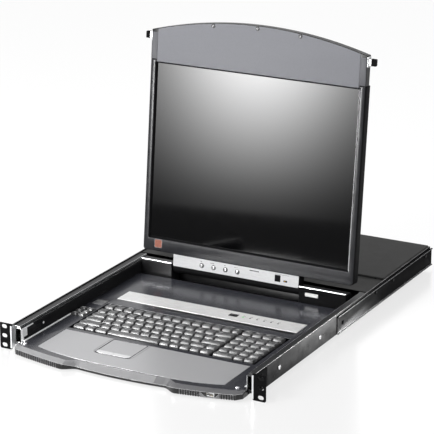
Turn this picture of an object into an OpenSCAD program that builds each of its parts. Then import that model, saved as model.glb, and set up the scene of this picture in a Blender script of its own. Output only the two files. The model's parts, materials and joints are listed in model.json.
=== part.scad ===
/* [Rack frame] */
// Reach of a rack ear beyond the side plate's inner face
ear_reach = 21.8; // [21:0.1:23]
// Place of the rack holes beyond the side plate's inner face
hole_reach = 13.05; // [12:0.05:14]
// Thickness of a rack ear
ear_t = 2; // [1.5:0.1:3]
// Width of an ear slot
slot_d = 6.8; // [6:0.1:7]
// Overall length of an ear slot
slot_len = 10; // [8:0.1:11]
// Height of the lowest ear slot
slot_low = 6.35; // [6:0.05:7]
// Step between ear slots
slot_step = 15.875; // [15:0.005:16]
// Thickness of the side plates
wall_t = 1.5; // [1:0.1:2]
// Lower edge of the side plates
wall_low = 6.5; // [5:0.1:6.6]
// Upper edge of the side plates
wall_top = 42; // [41.6:0.1:43]
// How far the outer rails reach forward of the plate before the housing
rail_lap = 125; // [90:1:160]
// How far the outer rails reach past the housing
rail_over = 4; // [0:0.5:8]
// Height of the outer rails
rail_h = 31; // [26:0.5:33]
// Depth of the folded edges of the outer rails
rail_hem = 2; // [1:0.1:3]

/* [Rear housing] */
// Depth of the housing
housing_d = 194; // [170:1:210]
// Depth of the plate before the housing
bay_d = 67; // [55:1:80]
// Gap between the tray and that plate
bay_gap = 2; // [1.5:0.1:4]
// Sheet thickness of the housing
sheet_t = 1.2; // [1:0.1:1.5]
// Step from the side plates in to the housing floor
pan_step = 14.5; // [10:0.5:20]
// Height of the housing shelf above the floor
shelf_z = 6.8; // [6.6:0.1:8]
// Number of computer sockets
socket_count = 8; // [4:1:8]
// Distance between computer sockets
socket_pitch = 16; // [15:0.5:18]

/* [Drawer slides] */
// Length of the slides
slide_len = 404; // [380:1:405]
// Play between the members of a slide
slide_play = 0.4; // [0.3:0.05:0.5]
// Sheet thickness of the slide members
slide_t = 1.5; // [1.2:0.1:1.6]
// Width of a slide with its three members
slide_w = 14.5; // [13:0.1:16]

/* [Tray] */
// Lower face of the tray floor
tray_low = 1.6; // [1.5:0.1:2]
// How far the tray reaches past the slides
tray_over = 3; // [2:0.1:5]
// Foremost point of the bow that the lip follows
lip_tip = 48; // [40:1:55]
// Radius of the bow of the lip
bow_r = 745; // [700:5:800]
// How far the lip reaches past the slides' inner faces
lip_side = 2; // [0:0.5:4]
// Depth of the finger scoop in the middle of the lip
scoop_depth = 15; // [8:1:20]
// Half width of the finger scoop
scoop_half = 104; // [80:1:110]
// Length of the blend at each end of the scoop
scoop_blend = 26; // [15:1:40]
// Height of the lip's front edge above the tray floor
nose_h = 9; // [8.5:0.5:10]
// How much lower that edge is along the scoop
nose_dip = 5; // [3:0.5:6]
// Step between the grip grooves
groove_step = 4; // [3:0.5:6]
// Depth of a grip groove
groove_depth = 1.2; // [0.5:0.1:2]
// Top of the deck
deck_top = 15; // [14.5:0.1:16]
// Space between the deck's rear edge and the hinge axis
deck_gap = 20; // [16:0.5:30]
// Space beside the palm rest and the status strip
panel_side = 33.7; // [30:0.1:45]
// Rear edge of the palm rest
palm_end = 84; // [70:1:88]
// Space between the keys and the status strip
strip_gap = 30; // [20:0.5:40]
// Depth of the status strip
strip_d = 40; // [30:1:45]

/* [Keyboard and touchpad] */
// Width of one key place
key_pitch = 18.6; // [18:0.1:19]
// Depth of one key row
row_pitch = 19; // [18:0.1:19.5]
// Space between the palm rest and the keys
key_front = 14; // [10:0.5:20]
// Gap between keys
key_gap = 2.4; // [1.5:0.1:3.5]
// Space between the function keys and the next row
function_gap = 4; // [0:0.5:6]
// Height of the keys above the deck
key_rise = 3.6; // [3:0.1:4.5]
// How far the key caps reach below the deck's face
key_sink = 3; // [2.5:0.1:3.5]
// Width of the well for the small keys at the left
side_well_w = 28; // [26:0.5:32]
// Radius of a key stem
stem_r = 2; // [1.5:0.1:2.5]
// Radial play of a key stem in its guide
stem_play = 0.08; // [0.05:0.01:0.1]
// Width of the touchpad
pad_w = 63; // [55:1:70]
// Left edge of the touchpad
pad_left = -77; // [-90:1:-60]
// Front edge of the touchpad buttons
pad_button_start = 20.5; // [18:0.5:24]
// Depth of the touchpad buttons
pad_button_d = 11.5; // [9:0.5:14]

/* [Screen] */
// Distance of the hinge axis before the tray's rear edge
hinge_in = 17; // [16:0.5:20]
// Height of the hinge axis above the deck
hinge_rise = 15; // [14.5:0.1:16]
// Backward lean of the screen as drawn
lcd_tilt = 6; // [0:0.5:10]
// Gap between the screen case and the tray's sides
lcd_gap = 1; // [0.8:0.1:3]
// Lower edge of the screen case above the hinge axis
lcd_low = 25; // [24:0.5:27]
// Front face of the screen case before the hinge axis
lcd_front = 9; // [8.5:0.1:9.2]
// Back face of the screen case behind the hinge axis
lcd_back_d = 13; // [11:0.5:13]
// Width of the frame beside the picture
view_side = 12.5; // [9:0.1:16]
// Width of the frame under the picture
view_under = 25.5; // [20:0.5:32]
// Width of the frame above the picture
view_edge = 6.5; // [6:0.1:9]
// Height of the picture opening
view_h = 305; // [298:1:306]
// Height of the bowed plate above the screen case
arc_rise = 78.5; // [70:0.5:90]
// Back face of the bowed plate
arc_back = 6; // [4:0.5:8]
// Left end of the hinge tongue
tongue_left = -141; // [-150:1:-130]
// Right end of the hinge tongue
tongue_right = 103; // [95:1:110]
// Radius of the hinge shafts
shaft_r = 4; // [3:0.5:5]
// Radial play of the shafts in the hinge blocks
shaft_play = 0.06; // [0.03:0.01:0.1]

/* [Buttons] */
// Radius of the screen buttons
button_r = 3.5; // [3:0.1:4]
// Radial play of the screen buttons
button_play = 0.3; // [0.2:0.05:0.4]
// Place of the first screen button
button_first = -84; // [-90:1:-80]
// Step between screen buttons
button_step = 23.2; // [20:0.1:25]
// Width of the button on the right hinge block
block_button_w = 24; // [18:1:28]
// Height of the button on the right hinge block
block_button_h = 6; // [5:0.5:8]
// Play around the square buttons
square_play = 0.35; // [0.3:0.05:0.5]

/* [Hidden] */
$fn = 48;

// Widths, from the keyboard out to the rack holes
main_units = 13.75;
pad_gap_units = 0.25;
pad_units = 4;
key_units = main_units + pad_gap_units + pad_units;
key_left = -key_units * key_pitch / 2;
key_well_edge = 4.5;
side_well_gap = 2.1;
side_well_wall = 1.2;
side_well_right = key_left - key_well_edge - side_well_gap;
side_well_left = side_well_right - side_well_w;
deck_half = side_well_wall - side_well_left;
deck_play = 0.3;
flange_in = deck_half + deck_play;
slide_in = flange_in + wall_t;
wall_in = slide_in + slide_w;
hole_span = 2 * (wall_in + hole_reach);
ear_span = 2 * (wall_in + ear_reach);
lip_half = slide_in + lip_side;
panel_half = deck_half - panel_side;
lcd_half = flange_in - lcd_gap;
pan_half = wall_in - pan_step;

// Depths, from the ears back to the rear panel
slide_start = 6;
slide_end = slide_start + slide_len;
tray_end = slide_end + tray_over;
bay_start = tray_end + bay_gap;
housing_start = bay_start + bay_d;
housing_end = housing_start + housing_d;
rail_start = bay_start - rail_lap;
hinge_y = tray_end - hinge_in;
hinge_z = deck_top + hinge_rise;
deck_end = hinge_y - deck_gap;

// Side plates, rails and slides
wall_out = wall_in + wall_t;
rail_out = wall_out + wall_t;
rail_end = housing_end + rail_over;
rail_drop = 0.5;
rail_low = wall_low + rail_drop;
rail_high = rail_low + rail_h;
slide_foot = 0.3;
slide_head = 2.3;
slide_reach = 2.5;
outer_low = wall_low + slide_foot;
outer_high = wall_top - slide_head;
middle_low = outer_low + slide_t + slide_play;
middle_high = outer_high - slide_t - slide_play;
inner_low = middle_low + slide_t + slide_play;
inner_high = middle_high - slide_t - slide_play;
outer_in = slide_in + slide_reach;
middle_in = slide_in + slide_t;
middle_out = wall_in - slide_t - slide_play;
inner_out = middle_out - slide_t - slide_play;
ear_lap = 1.2;
ear_in = wall_in - ear_lap;
ear_leg = 40;
ear_leg_foot = 1.5;
ear_leg_head = 2;
ear_corner = 3;
slot_count = 3;
ear_trim = 0.45;
ear_h = 2 * slot_low + (slot_count - 1) * slot_step - ear_trim;

// Screws through the sides, as places along the depth and heights
screw_head_r = 3.6;
screw_head_t = 1.8;
screw_r = 2;
screw_hole_r = 2.1;
slide_screw_z = 24;
slide_screws = [[83, slide_screw_z], [227, slide_screw_z]];
ear_screws = [[20, 15], [20, 33]];
rail_screw_low = 22;
rail_screw_gap = 0.9;
rail_screw_z = rail_high - wall_t - screw_head_r - rail_screw_gap;
rail_screw_in = 20;
bay_screw_in = 25;
cover_screw_in = 28;
rear_screw_in = 26;
rail_screws = [[rail_start + rail_screw_in, rail_screw_low], [bay_start + bay_screw_in, rail_screw_z],
    [housing_start + cover_screw_in, rail_screw_z], [housing_end - rear_screw_in, rail_screw_z]];

// Rear housing
cover_sink = 0.5;
cover_rise = 1;
cover_step = wall_top - cover_sink;
cover_low = cover_step - sheet_t;
cover_high = wall_top + cover_rise;
cover_edge = 2.5;
cover_half = wall_in - cover_edge;
bay_drop = 1.8;
bay_low = cover_low - bay_drop;
fold_edge = 4;
fold_low = rail_screw_z - fold_edge;
fold_in = wall_in - sheet_t;
panel_y = housing_end - sheet_t;
board_low = 6.6;
board_t = 1.6;
board_top = board_low + board_t;
board_side = 10;
board_front = 23;
board_rear = 2;
board_left = board_side - pan_half;
board_start = housing_start + board_front;
board_end = panel_y - board_rear;
standoff_r = 3;
standoff_in = 10;
standoff_rear = 33;
chip_w = 28;
chip_t = 2.4;
chip_step = 48;
chip_count = 4;
chip_left = 35;
chip_front = 35;
sink_left = 175;
sink_front = 85;
sink_w = 50;
sink_d = 35;
sink_h = 10;
socket_left = -70;
socket_h = 10;
socket_d = 14;
socket_wall = 1.8;
socket_inside = 20;
socket_y = housing_end - socket_inside;
socket_out = 1.2;
socket_block_w = socket_count * socket_pitch + socket_wall;
socket_block_h = socket_h + 2 * socket_wall;
socket_right = socket_left + socket_block_w;
board_right = socket_right + board_side;
standoffs = [for (x = [board_left + standoff_in, board_right - standoff_in])
    for (y = [board_start + standoff_in, board_end - standoff_rear]) [x, y]];
video_x = -130;
video_w = 32;
video_h = 12.5;
video_open_w = 18;
video_open_h = 9;
video_open_d = 6;
inlet_side = 35;
inlet_x = pan_half - inlet_side;
inlet_w = 31;
inlet_h = 24;
inlet_z = 20;
inlet_depth = 24;
inlet_open_w = 25;
inlet_open_h = 17;
inlet_open_d = 15;
blade_w = 2;
blade_h = 4;
blade_step = 7;
blade_back = 2;
switch_step = 38;
switch_x = inlet_x - switch_step;
switch_w = 17;
switch_open_w = 10.6;
switch_open_h = 19.6;
flange_t = 1.4;
flange_over = 2;
panel_play = 0.2;
rocker_w = 9.8;
rocker_h = 17.6;
rocker_swing = 6;
rocker_pin_r = 1.3;
rocker_pin_play = 0.05;
rocker_pin_wall = 1;
rocker_pin_end = 0.4;
rocker_root = 3.5;
rocker_root_half = 3;
rocker_shoulder = 2;
rocker_waist = 5.6;
rocker_face = 6.6;
rocker_in = 4;
rocker_y = housing_end - rocker_in;
supply_w = 103;
supply_side = 7;
supply_front = 33;
supply_rear = 36;
supply_right = pan_half - supply_side;
supply_left = supply_right - supply_w;
supply_start = housing_start + supply_front;
supply_end = housing_end - supply_rear;
supply_gap = 4.3;
supply_top = cover_low - supply_gap;

// Tray, lip and deck
tray_t = 1.2;
floor_z = tray_low + tray_t;
flange_low_top = 20;
flange_high_top = 34;
flange_start = 12;
flange_step = 46;
flange_rear = 8;
flange_end = tray_end - flange_rear;
tray_back_top = 18;
lip_back = 4;
tray_start = -8;
lip_corner = 8;
lip_samples = 92;
deck_t = 2;
deck_low = deck_top - deck_t;
lip_top = deck_low;
deck_side = 1.2;
deck_inset = 12;
nose_seam = 0.4;
nose_run = deck_inset - nose_seam;
pocket_d = 0.8;
pocket_z = deck_top - pocket_d;
panel_play_side = 0.25;
palm_start = 0;
palm_rim = 3;
palm_bow = palm_start - lip_edge(0) - deck_inset - palm_rim;
palm_samples = 24;
palm_power = 4;
palm_t = 1.2;
strip_t = 1.4;
usb_side = 47;
usb_x = lip_half - usb_side;
usb_w = 14;
usb_h = 6.4;
usb_wall = 0.6;
usb_d = 15;
usb_z = 8;
usb_back = 1;
usb_floor = 2;
groove_w = 1.6;
groove_gap = 8;
groove_from = scoop_half + groove_gap;
groove_side = 9;
groove_to = lip_half - groove_side;
groove_rim = 0.8;
groove_h = nose_h - groove_rim;
post_side = 10.2;
post_x = deck_half - post_side;
post_y = -2;
post_r = 3.2;
post_h = 2.6;
tray_board_half = 150;
tray_board_d = 62;
tray_board_rear = 14;
tray_board_end = deck_end - tray_board_rear;
tray_board_start = tray_board_end - tray_board_d;
tray_board_z = 5.5;
tray_board_inset = 6;
tray_board_side = 10;
tray_chip_w = 18;
tray_chip_t = 2;
tray_chip_step = 80;
tray_chip_front = 20;

// Keys, as widths in key places from left to right
row_main = [
    [1.25, 1, 1.25, 5.25, 1, 1, 1, 1, 1],
    [2.25, 1, 1, 1, 1, 1, 1, 1, 1, 1, 1.5, 1],
    [1.75, 1, 1, 1, 1, 1, 1, 1, 1, 1, 1, 2],
    [1.5, 1, 1, 1, 1, 1, 1, 1, 1, 1, 1, 1, 1.25],
    [1, 1, 1, 1, 1, 1, 1, 1, 1, 1, 1, 1, 1.75],
    [1, 1, 1, 1, 1, 1, 1, 1, 1, 1, 1, 1, 1, 0.75]];
row_pad = [[2, 1, 1], [1, 1, 1, 1], [1, 1, 1, 1], [1, 1, 1, 1], [1, 1, 1, 1], [1, 1, 1, 1]];
row_count = len(row_main);
key_start = palm_end + key_front;
key_end = key_start + row_count * row_pitch + function_gap;
strip_start = key_end + strip_gap;
key_top = deck_top + key_rise;
key_low = deck_top - key_sink;
key_step = 0.4;
key_step_z = deck_top + key_step;
key_inset = 1;
plate_low = 6;
plate_t = 2;
plate_top = plate_low + plate_t;
plate_edge = 2;
plate_side = 0.4;
plate_foot_x = 150;
plate_foot_r = 1.5;
stem_reach = 0.3;
stem_low = plate_low - stem_reach;
side_key_w = 11;
side_key_step = 13.5;
side_key_in = 7;
side_key_front = 8;
side_key_rows = 3;
side_key_cols = 2;
side_well_start = 144;
side_well_d = 43;
side_key_x = [for (i = [0:side_key_cols - 1]) side_well_left + side_key_in + i * side_key_step];
side_key_y = [for (i = [0:side_key_rows - 1]) side_well_start + side_key_front + i * side_key_step];
pad_split = 0.5;
pad_start = pad_button_start + pad_button_d + pad_split;
pad_margin = 2;
pad_end = palm_end - pad_margin;
pad_sink = 1.4;
pad_z = deck_top - pad_sink;
pad_t = 1.3;
pad_play = 0.2;
pad_frame = 1;
pad_button_rise = 0.8;
pad_button_top = deck_top + pad_button_rise;
pad_button_t = 4.2;
pad_button_low = pad_button_top - pad_button_t;
pad_button_w = (pad_w - 3 * square_play) / 2;
shelf_edge = 3;

// Hinge blocks, screen case and what it carries
block_front = 12;
block_play = 0.3;
block_rise = 8.5;
block_flat = 7;
block_gap = 1.5;
block_start = hinge_y - block_front;
block_end = tray_end - tray_t - block_play;
block_top = hinge_z + block_rise;
block_shoulder = hinge_y + block_flat;
block_crest = hinge_z;
block_side = 0.5;
block_right_side = 10.5;
left_block = [block_side - flange_in, tongue_left - block_gap];
right_block = [tongue_right + block_gap, flange_in - block_right_side];
trim_d = 3;
trim_h = 2.4;
shaft_in = 20;
shaft_out = 26;
shaft_end = 1;
shaft_fit = 0.02;
block_button_in = 12.5;
block_button_x = right_block[0] + block_button_in;
block_button_rise = 1;
block_button_z = hinge_z + block_button_rise;
block_button_d = 5.5;
block_button_out = 1;
block_pocket_d = 6.5;
bezel_t = 4;
bezel_back = -lcd_front + bezel_t;
case_t = 1.6;
view_half = lcd_half - view_side;
view_low = lcd_low + view_under;
view_high = view_low + view_h;
lcd_high = view_high + view_edge;
arc_top = lcd_high + arc_rise;
panel_edge = 4;
panel_back = 4;
lcd_board_half = 120;
lcd_board_low = 120;
lcd_board_high = 240;
lcd_board_gap = 1.2;
lcd_board_side = 10;
lcd_board_inset = 8;
arc_samples = 60;
tongue_back = 11;
tongue_drop = lcd_front;
osd_t = 1;
osd_low = 4.5;
osd_edge = 0.5;
osd_right = tongue_right - osd_edge;
osd_left = tongue_left + osd_edge;
button_h = 13.7;
button_out = 1.4;
button_in = 4;
button_pocket = 6;
button_count = 4;
catch_edge = 5;
catch_h = 12;
catch_high = arc_edge(lcd_half) - catch_edge;
catch_low = catch_high - catch_h;
catch_root = 9.5;
catch_reach = 13.5;
catch_in = lcd_half - catch_root;
catch_out = lcd_half + catch_reach;
catch_travel = 3;
catch_front = -6;
catch_back = 3;
catch_play = 0.35;

// How far a cut reaches past a face
over = 1;

// The front edge of the lip and the top of the bowed plate, by the place across
function blend(t) = t <= 0 ? 0 : t >= 1 ? 1 : t * t * (3 - 2 * t);
function bow(x) = -lip_tip + x * x / (2 * bow_r);
function lip_edge(x) = bow(x) + scoop_depth * blend((scoop_half - abs(x)) / scoop_blend);
function nose_z(x) = floor_z + nose_h - nose_dip * blend((scoop_half - abs(x)) / scoop_blend);
function arc_edge(x) = arc_top - x * x / (2 * bow_r);
function across(i, half, count) = -half + 2 * half * i / count;
function sum(list, count) = count == 0 ? 0 : list[count - 1] + sum(list, count - 1);
function row_y(r) = key_start + r * row_pitch + (r == row_count - 1 ? function_gap : 0);
lip_front = min([for (i = [0:lip_samples]) lip_edge(across(i, lip_half - lip_corner, lip_samples))]);
mid_y = (rail_end + lip_front) / 2;

// A box from one corner to the opposite one
module block(a, b) {
    translate(a)
    cube([b[0] - a[0], b[1] - a[1], b[2] - a[2]]);
}

// A solid through sections across X that have as many points each
module lofted(sections) {
    n = len(sections[0]);
    last = len(sections) - 1;
    polyhedron(
        points = [for (section = sections) each section],
        faces = concat(
            [[for (i = [n - 1:-1:0]) i], [for (i = [0:n - 1]) last * n + i]],
            [for (k = [0:last - 1], i = [0:n - 1])
                let (a = k * n + i, b = k * n + (i + 1) % n)
                    each [[a, b, b + n], [a, b + n, a + n]]]));
}

// Puts the ears' plane where the frame wants it
module place() {
    translate([0, -mid_y, 0])
    children();
}

// The right-hand piece, or its mirror on the left
module sided(side) {
    mirror([side < 0 ? 1 : 0, 0, 0])
    children();
}

// A straight bore along X
module bore_x(x0, x1, y, z, r) {
    translate([x0, y, z])
    rotate([0, 90, 0])
    cylinder(r = r, h = x1 - x0);
}

// Moves into the screen's own frame: Y is depth, Z is height above the axis
module screen_frame() {
    translate([0, hinge_y, hinge_z])
    rotate([-lcd_tilt, 0, 0])
    children();
}

// Holes along X through a sheet of the right-hand side
module side_holes(places, x0, x1) {
    for (p = places)
        bore_x(x0 - over, x1 + over, p[0], p[1], screw_hole_r);
}

module side_plate(side) {
    color([0.05, 0.05, 0.055])
    place()
    sided(side)
    difference() {
        block([wall_in, 0, wall_low], [wall_out, housing_end, wall_top]);
        side_holes(slide_screws, wall_in, wall_out);
        side_holes(ear_screws, wall_in, wall_out);
        side_holes(rail_screws, wall_in, wall_out);
    }
}

// A flat ended slot along X, cut through along Y
module ear_slot(x, z) {
    half = (slot_len - slot_d) / 2;
    for (s = [-1, 1])
        translate([x + s * half, over, z])
        rotate([90, 0, 0])
        cylinder(d = slot_d, h = ear_t + 2 * over);
    block([x - half, -ear_t - over, z - slot_d / 2], [x + half, over, z + slot_d / 2]);
}

module rack_ear(side) {
    out = ear_span / 2;
    color([0.05, 0.05, 0.055])
    place()
    sided(side)
    difference() {
        union() {
            block([ear_in, -ear_t, ear_corner], [out, 0, ear_h]);
            block([ear_in + ear_corner, -ear_t, 0], [out - ear_corner, 0, ear_corner]);
            for (x = [ear_in + ear_corner, out - ear_corner])
                translate([x, 0, ear_corner])
                rotate([90, 0, 0])
                cylinder(r = ear_corner, h = ear_t);
            block([wall_out, 0, wall_low + ear_leg_foot], [rail_out, ear_leg, wall_top - ear_leg_head]);
        }
        for (i = [0:slot_count - 1])
            ear_slot(hole_span / 2, slot_low + i * slot_step);
        side_holes(ear_screws, wall_out, rail_out);
    }
}

// A channel with its web outside and its two flanges turned inwards
module channel_in(x0, x1, z0, z1) {
    block([x1 - slide_t, slide_start, z0], [x1, slide_end, z1]);
    block([x0, slide_start, z0], [x1 - slide_t, slide_end, z0 + slide_t]);
    block([x0, slide_start, z1 - slide_t], [x1 - slide_t, slide_end, z1]);
}

module outer_slide(side) {
    color([0.75, 0.76, 0.78])
    place()
    sided(side)
    difference() {
        channel_in(outer_in, wall_in, outer_low, outer_high);
        side_holes(slide_screws, wall_in - slide_t, wall_in);
    }
}

module middle_slide(side) {
    color([0.7, 0.71, 0.73])
    place()
    sided(side)
    channel_in(middle_in, middle_out, middle_low, middle_high);
}

module inner_slide(side) {
    color([0.75, 0.76, 0.78])
    place()
    sided(side) {
        block([slide_in, slide_start, inner_low], [middle_in, slide_end, inner_high]);
        block([middle_in, slide_start, inner_low], [inner_out, slide_end, inner_low + slide_t]);
        block([middle_in, slide_start, inner_high - slide_t], [inner_out, slide_end, inner_high]);
    }
}

module outer_rail(side) {
    hem_out = rail_out + rail_hem;
    color([0.04, 0.04, 0.045])
    place()
    sided(side)
    difference() {
        union() {
            block([wall_out, rail_start, rail_low], [rail_out, rail_end, rail_high]);
            block([rail_out, rail_start, rail_low], [hem_out, rail_end, rail_low + wall_t]);
            block([rail_out, rail_start, rail_high - wall_t], [hem_out, rail_end, rail_high]);
        }
        side_holes(rail_screws, wall_out, rail_out);
    }
}

// One screw along X with its head outside
module side_screw(p, seat, tip) {
    bore_x(seat, seat + screw_head_t, p[0], p[1], screw_head_r);
    bore_x(tip, seat, p[0], p[1], screw_r);
}

module case_screws() {
    color([0.85, 0.85, 0.86])
    place()
    for (side = [-1, 1])
        sided(side) {
            for (p = slide_screws)
                side_screw(p, wall_out, wall_in - slide_t);
            for (p = ear_screws)
                side_screw(p, rail_out, wall_in);
            for (p = rail_screws)
                side_screw(p, rail_out, p[1] > fold_low ? fold_in : wall_in);
        }
}

module housing_pan() {
    skirt = pan_half - sheet_t;
    color([0.07, 0.07, 0.075])
    place() {
        block([-pan_half, bay_start, 0], [pan_half, housing_end, sheet_t]);
        for (side = [-1, 1])
            sided(side) {
                block([skirt, bay_start, sheet_t], [pan_half, housing_end, shelf_z]);
                block([skirt, bay_start, shelf_z], [wall_in, housing_end, shelf_z + sheet_t]);
            }
        block([-skirt, housing_start, sheet_t], [skirt, housing_start + sheet_t, cover_low]);
        for (p = standoffs)
            translate([p[0], p[1], sheet_t])
            cylinder(r = standoff_r, h = board_low - sheet_t);
    }
}

module housing_cover() {
    color([0.13, 0.13, 0.14])
    place()
    difference() {
        union() {
            block([-wall_in, housing_start, cover_low], [wall_in, housing_end, cover_step]);
            block([-cover_half, housing_start, cover_step], [cover_half, housing_end, cover_high]);
            for (side = [-1, 1])
                sided(side)
                block([fold_in, housing_start, fold_low], [wall_in, housing_end, cover_low]);
        }
        for (side = [-1, 1])
            sided(side)
            side_holes(rail_screws, fold_in, wall_in);
    }
}

module bay_plate() {
    color([0.1, 0.1, 0.11])
    place()
    difference() {
        union() {
            block([-wall_in, bay_start, bay_low], [wall_in, housing_start, bay_low + sheet_t]);
            for (side = [-1, 1])
                sided(side)
                block([fold_in, bay_start, fold_low], [wall_in, housing_start, bay_low]);
        }
        for (side = [-1, 1])
            sided(side)
            side_holes(rail_screws, fold_in, wall_in);
    }
}

module rear_panel() {
    skirt = pan_half - sheet_t;
    front = panel_y - over;
    back = housing_end + over;
    low = board_top - panel_play;
    inlet_low = inlet_z - inlet_h / 2 - panel_play;
    inlet_high = inlet_z + inlet_h / 2 + panel_play;
    video_half = video_w / 2 + panel_play;
    inlet_half = inlet_w / 2 + panel_play;
    switch_half = switch_w / 2 + panel_play;
    color([0.07, 0.07, 0.075])
    place()
    difference() {
        union() {
            block([-skirt, panel_y, sheet_t], [skirt, housing_end, shelf_z + sheet_t]);
            block([-fold_in, panel_y, shelf_z + sheet_t], [fold_in, housing_end, cover_low]);
        }
        block([socket_left - panel_play, front, low],
            [socket_right + panel_play, back, board_top + socket_block_h + panel_play]);
        block([video_x - video_half, front, low],
            [video_x + video_half, back, board_top + video_h + panel_play]);
        block([inlet_x - inlet_half, front, inlet_low], [inlet_x + inlet_half, back, inlet_high]);
        block([switch_x - switch_half, front, inlet_low], [switch_x + switch_half, back, inlet_high]);
    }
}

module switch_board() {
    color([0.05, 0.3, 0.12])
    place() {
        block([board_left, board_start, board_low], [board_right, board_end, board_top]);
        for (i = [0:chip_count - 1])
            translate([board_left + chip_left + chip_step * i, board_start + chip_front, board_top])
            cube([chip_w, chip_w, chip_t]);
        translate([board_left + sink_left, board_start + sink_front, board_top])
        cube([sink_w, sink_d, sink_h]);
    }
}

module power_supply() {
    color([0.72, 0.73, 0.75])
    place()
    block([supply_left, supply_start, sheet_t], [supply_right, supply_end, supply_top]);
}

module rear_sockets() {
    face = housing_end + socket_out;
    color([0.1, 0.1, 0.11])
    place()
    difference() {
        union() {
            block([socket_left, socket_y, board_top],
                [socket_right, face, board_top + socket_block_h]);
            block([video_x - video_w / 2, socket_y, board_top],
                [video_x + video_w / 2, face, board_top + video_h]);
        }
        for (i = [0:socket_count - 1])
            translate([socket_left + socket_wall + i * socket_pitch, face - socket_d, board_top])
            translate([0, 0, socket_wall])
            cube([socket_pitch - socket_wall, socket_d + over, socket_h]);
        translate([video_x - video_open_w / 2, face - video_open_d, board_top])
        translate([0, 0, (video_h - video_open_h) / 2])
        cube([video_open_w, video_open_d + over, video_open_h]);
    }
}

// The mains inlet and the switch frame share one moulding with a flange
module power_inlet() {
    face = housing_end + flange_t;
    left = switch_x - switch_w / 2;
    right = inlet_x + inlet_w / 2;
    pin_half = switch_w / 2 - rocker_pin_wall;
    color([0.06, 0.06, 0.065])
    place()
    difference() {
        union() {
            block([left - flange_over, housing_end, inlet_z - inlet_h / 2 - flange_over],
                [right + flange_over, face, inlet_z + inlet_h / 2 + flange_over]);
            block([left, housing_end - inlet_depth, inlet_z - inlet_h / 2],
                [left + switch_w, housing_end, inlet_z + inlet_h / 2]);
            block([inlet_x - inlet_w / 2, housing_end - inlet_depth, inlet_z - inlet_h / 2],
                [right, housing_end, inlet_z + inlet_h / 2]);
        }
        difference() {
            block([inlet_x - inlet_open_w / 2, face - inlet_open_d, inlet_z - inlet_open_h / 2],
                [inlet_x + inlet_open_w / 2, face + over, inlet_z + inlet_open_h / 2]);
            for (i = [-1:1])
                translate([inlet_x + i * blade_step - blade_w / 2, face - inlet_open_d - over, inlet_z])
                translate([0, 0, -blade_h])
                cube([blade_w, inlet_open_d + over - blade_back, blade_h]);
        }
        block([switch_x - switch_open_w / 2, face - inlet_open_d, inlet_z - switch_open_h / 2],
            [switch_x + switch_open_w / 2, face + over, inlet_z + switch_open_h / 2]);
        bore_x(switch_x - pin_half, switch_x + pin_half, rocker_y, inlet_z, rocker_pin_r + rocker_pin_play);
    }
}

// Drawn in its off position, leaning to one side about its pins
module power_rocker() {
    half = rocker_h / 2;
    pin_half = switch_w / 2 - rocker_pin_wall - rocker_pin_end;
    color([0.02, 0.02, 0.02])
    place()
    translate([switch_x, rocker_y, inlet_z])
    rotate([-rocker_swing, 0, 0]) {
        translate([-rocker_w / 2, 0, 0])
        rotate([90, 0, 90])
        linear_extrude(rocker_w)
        polygon([[-rocker_root, -rocker_root_half], [-rocker_root, rocker_root_half],
            [rocker_shoulder, half], [rocker_face, half], [rocker_waist, 0],
            [rocker_face, -half], [rocker_shoulder, -half]]);
        bore_x(-pin_half, pin_half, 0, 0, rocker_pin_r);
    }
}

module tray() {
    color([0.05, 0.05, 0.055])
    place() {
        block([-slide_in, tray_start, tray_low], [slide_in, tray_end, floor_z]);
        for (side = [-1, 1])
            sided(side) {
                block([flange_in, flange_start, floor_z], [slide_in, flange_step, flange_low_top]);
                block([flange_in, flange_step, floor_z], [slide_in, flange_end, flange_high_top]);
            }
        block([-flange_in, tray_end - tray_t, floor_z], [flange_in, tray_end, tray_back_top]);
    }
}

// A section of the lip: its front edge, the slope up to the deck, the shelf under the deck
function lip_section(x, edge) = [
    [x, edge, floor_z], [x, edge, nose_z(x)], [x, edge + nose_run, deck_top],
    [x, edge + nose_run, lip_top], [x, lip_back, lip_top], [x, lip_back, floor_z]];

module front_lip() {
    usb_y = bow(usb_x);
    corner_y = lip_edge(lip_half) + lip_corner;
    color([0.09, 0.09, 0.1])
    place()
    difference() {
        lofted(concat(
            [lip_section(-lip_half, corner_y)],
            [for (i = [0:lip_samples])
                let (x = across(i, lip_half - lip_corner, lip_samples)) lip_section(x, lip_edge(x))],
            [lip_section(lip_half, corner_y)]));
        for (side = [-1, 1], x = [groove_from:groove_step:groove_to])
            if (side < 0 || abs(x - usb_x) > usb_w)
                translate([side * x - groove_w / 2, bow(x) - groove_w, floor_z - over])
                cube([groove_w, groove_w + groove_depth, groove_h + over]);
        block([usb_x - usb_w / 2, usb_y - usb_h / 2, usb_z - usb_h / 2],
            [usb_x + usb_w / 2, usb_y + usb_d, usb_z + usb_h / 2]);
    }
}

module usb_socket() {
    usb_y = bow(usb_x);
    half_w = usb_w / 2;
    half_h = usb_h / 2;
    color([0.8, 0.81, 0.83])
    place()
    difference() {
        block([usb_x - half_w, usb_y + usb_back, usb_z - half_h],
            [usb_x + half_w, usb_y + usb_d, usb_z + half_h]);
        block([usb_x - half_w + usb_wall, usb_y, usb_z - half_h + usb_wall],
            [usb_x + half_w - usb_wall, usb_y + usb_d - usb_floor, usb_z + half_h - usb_wall]);
    }
}

// The outline of the deck, whose front follows the lip's edge
module deck_outline() {
    corner_y = lip_edge(deck_half) + lip_corner + deck_inset;
    polygon(concat(
        [[-deck_half, corner_y]],
        [for (i = [0:lip_samples])
            let (x = across(i, deck_half - lip_corner, lip_samples)) [x, lip_edge(x) + deck_inset]],
        [[deck_half, corner_y], [deck_half, deck_end], [-deck_half, deck_end]]));
}

// The front edge of the palm rest, bowed like the lip
function palm_edge(x) = palm_start - palm_bow * (1 - pow(x / panel_half, palm_power));

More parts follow.
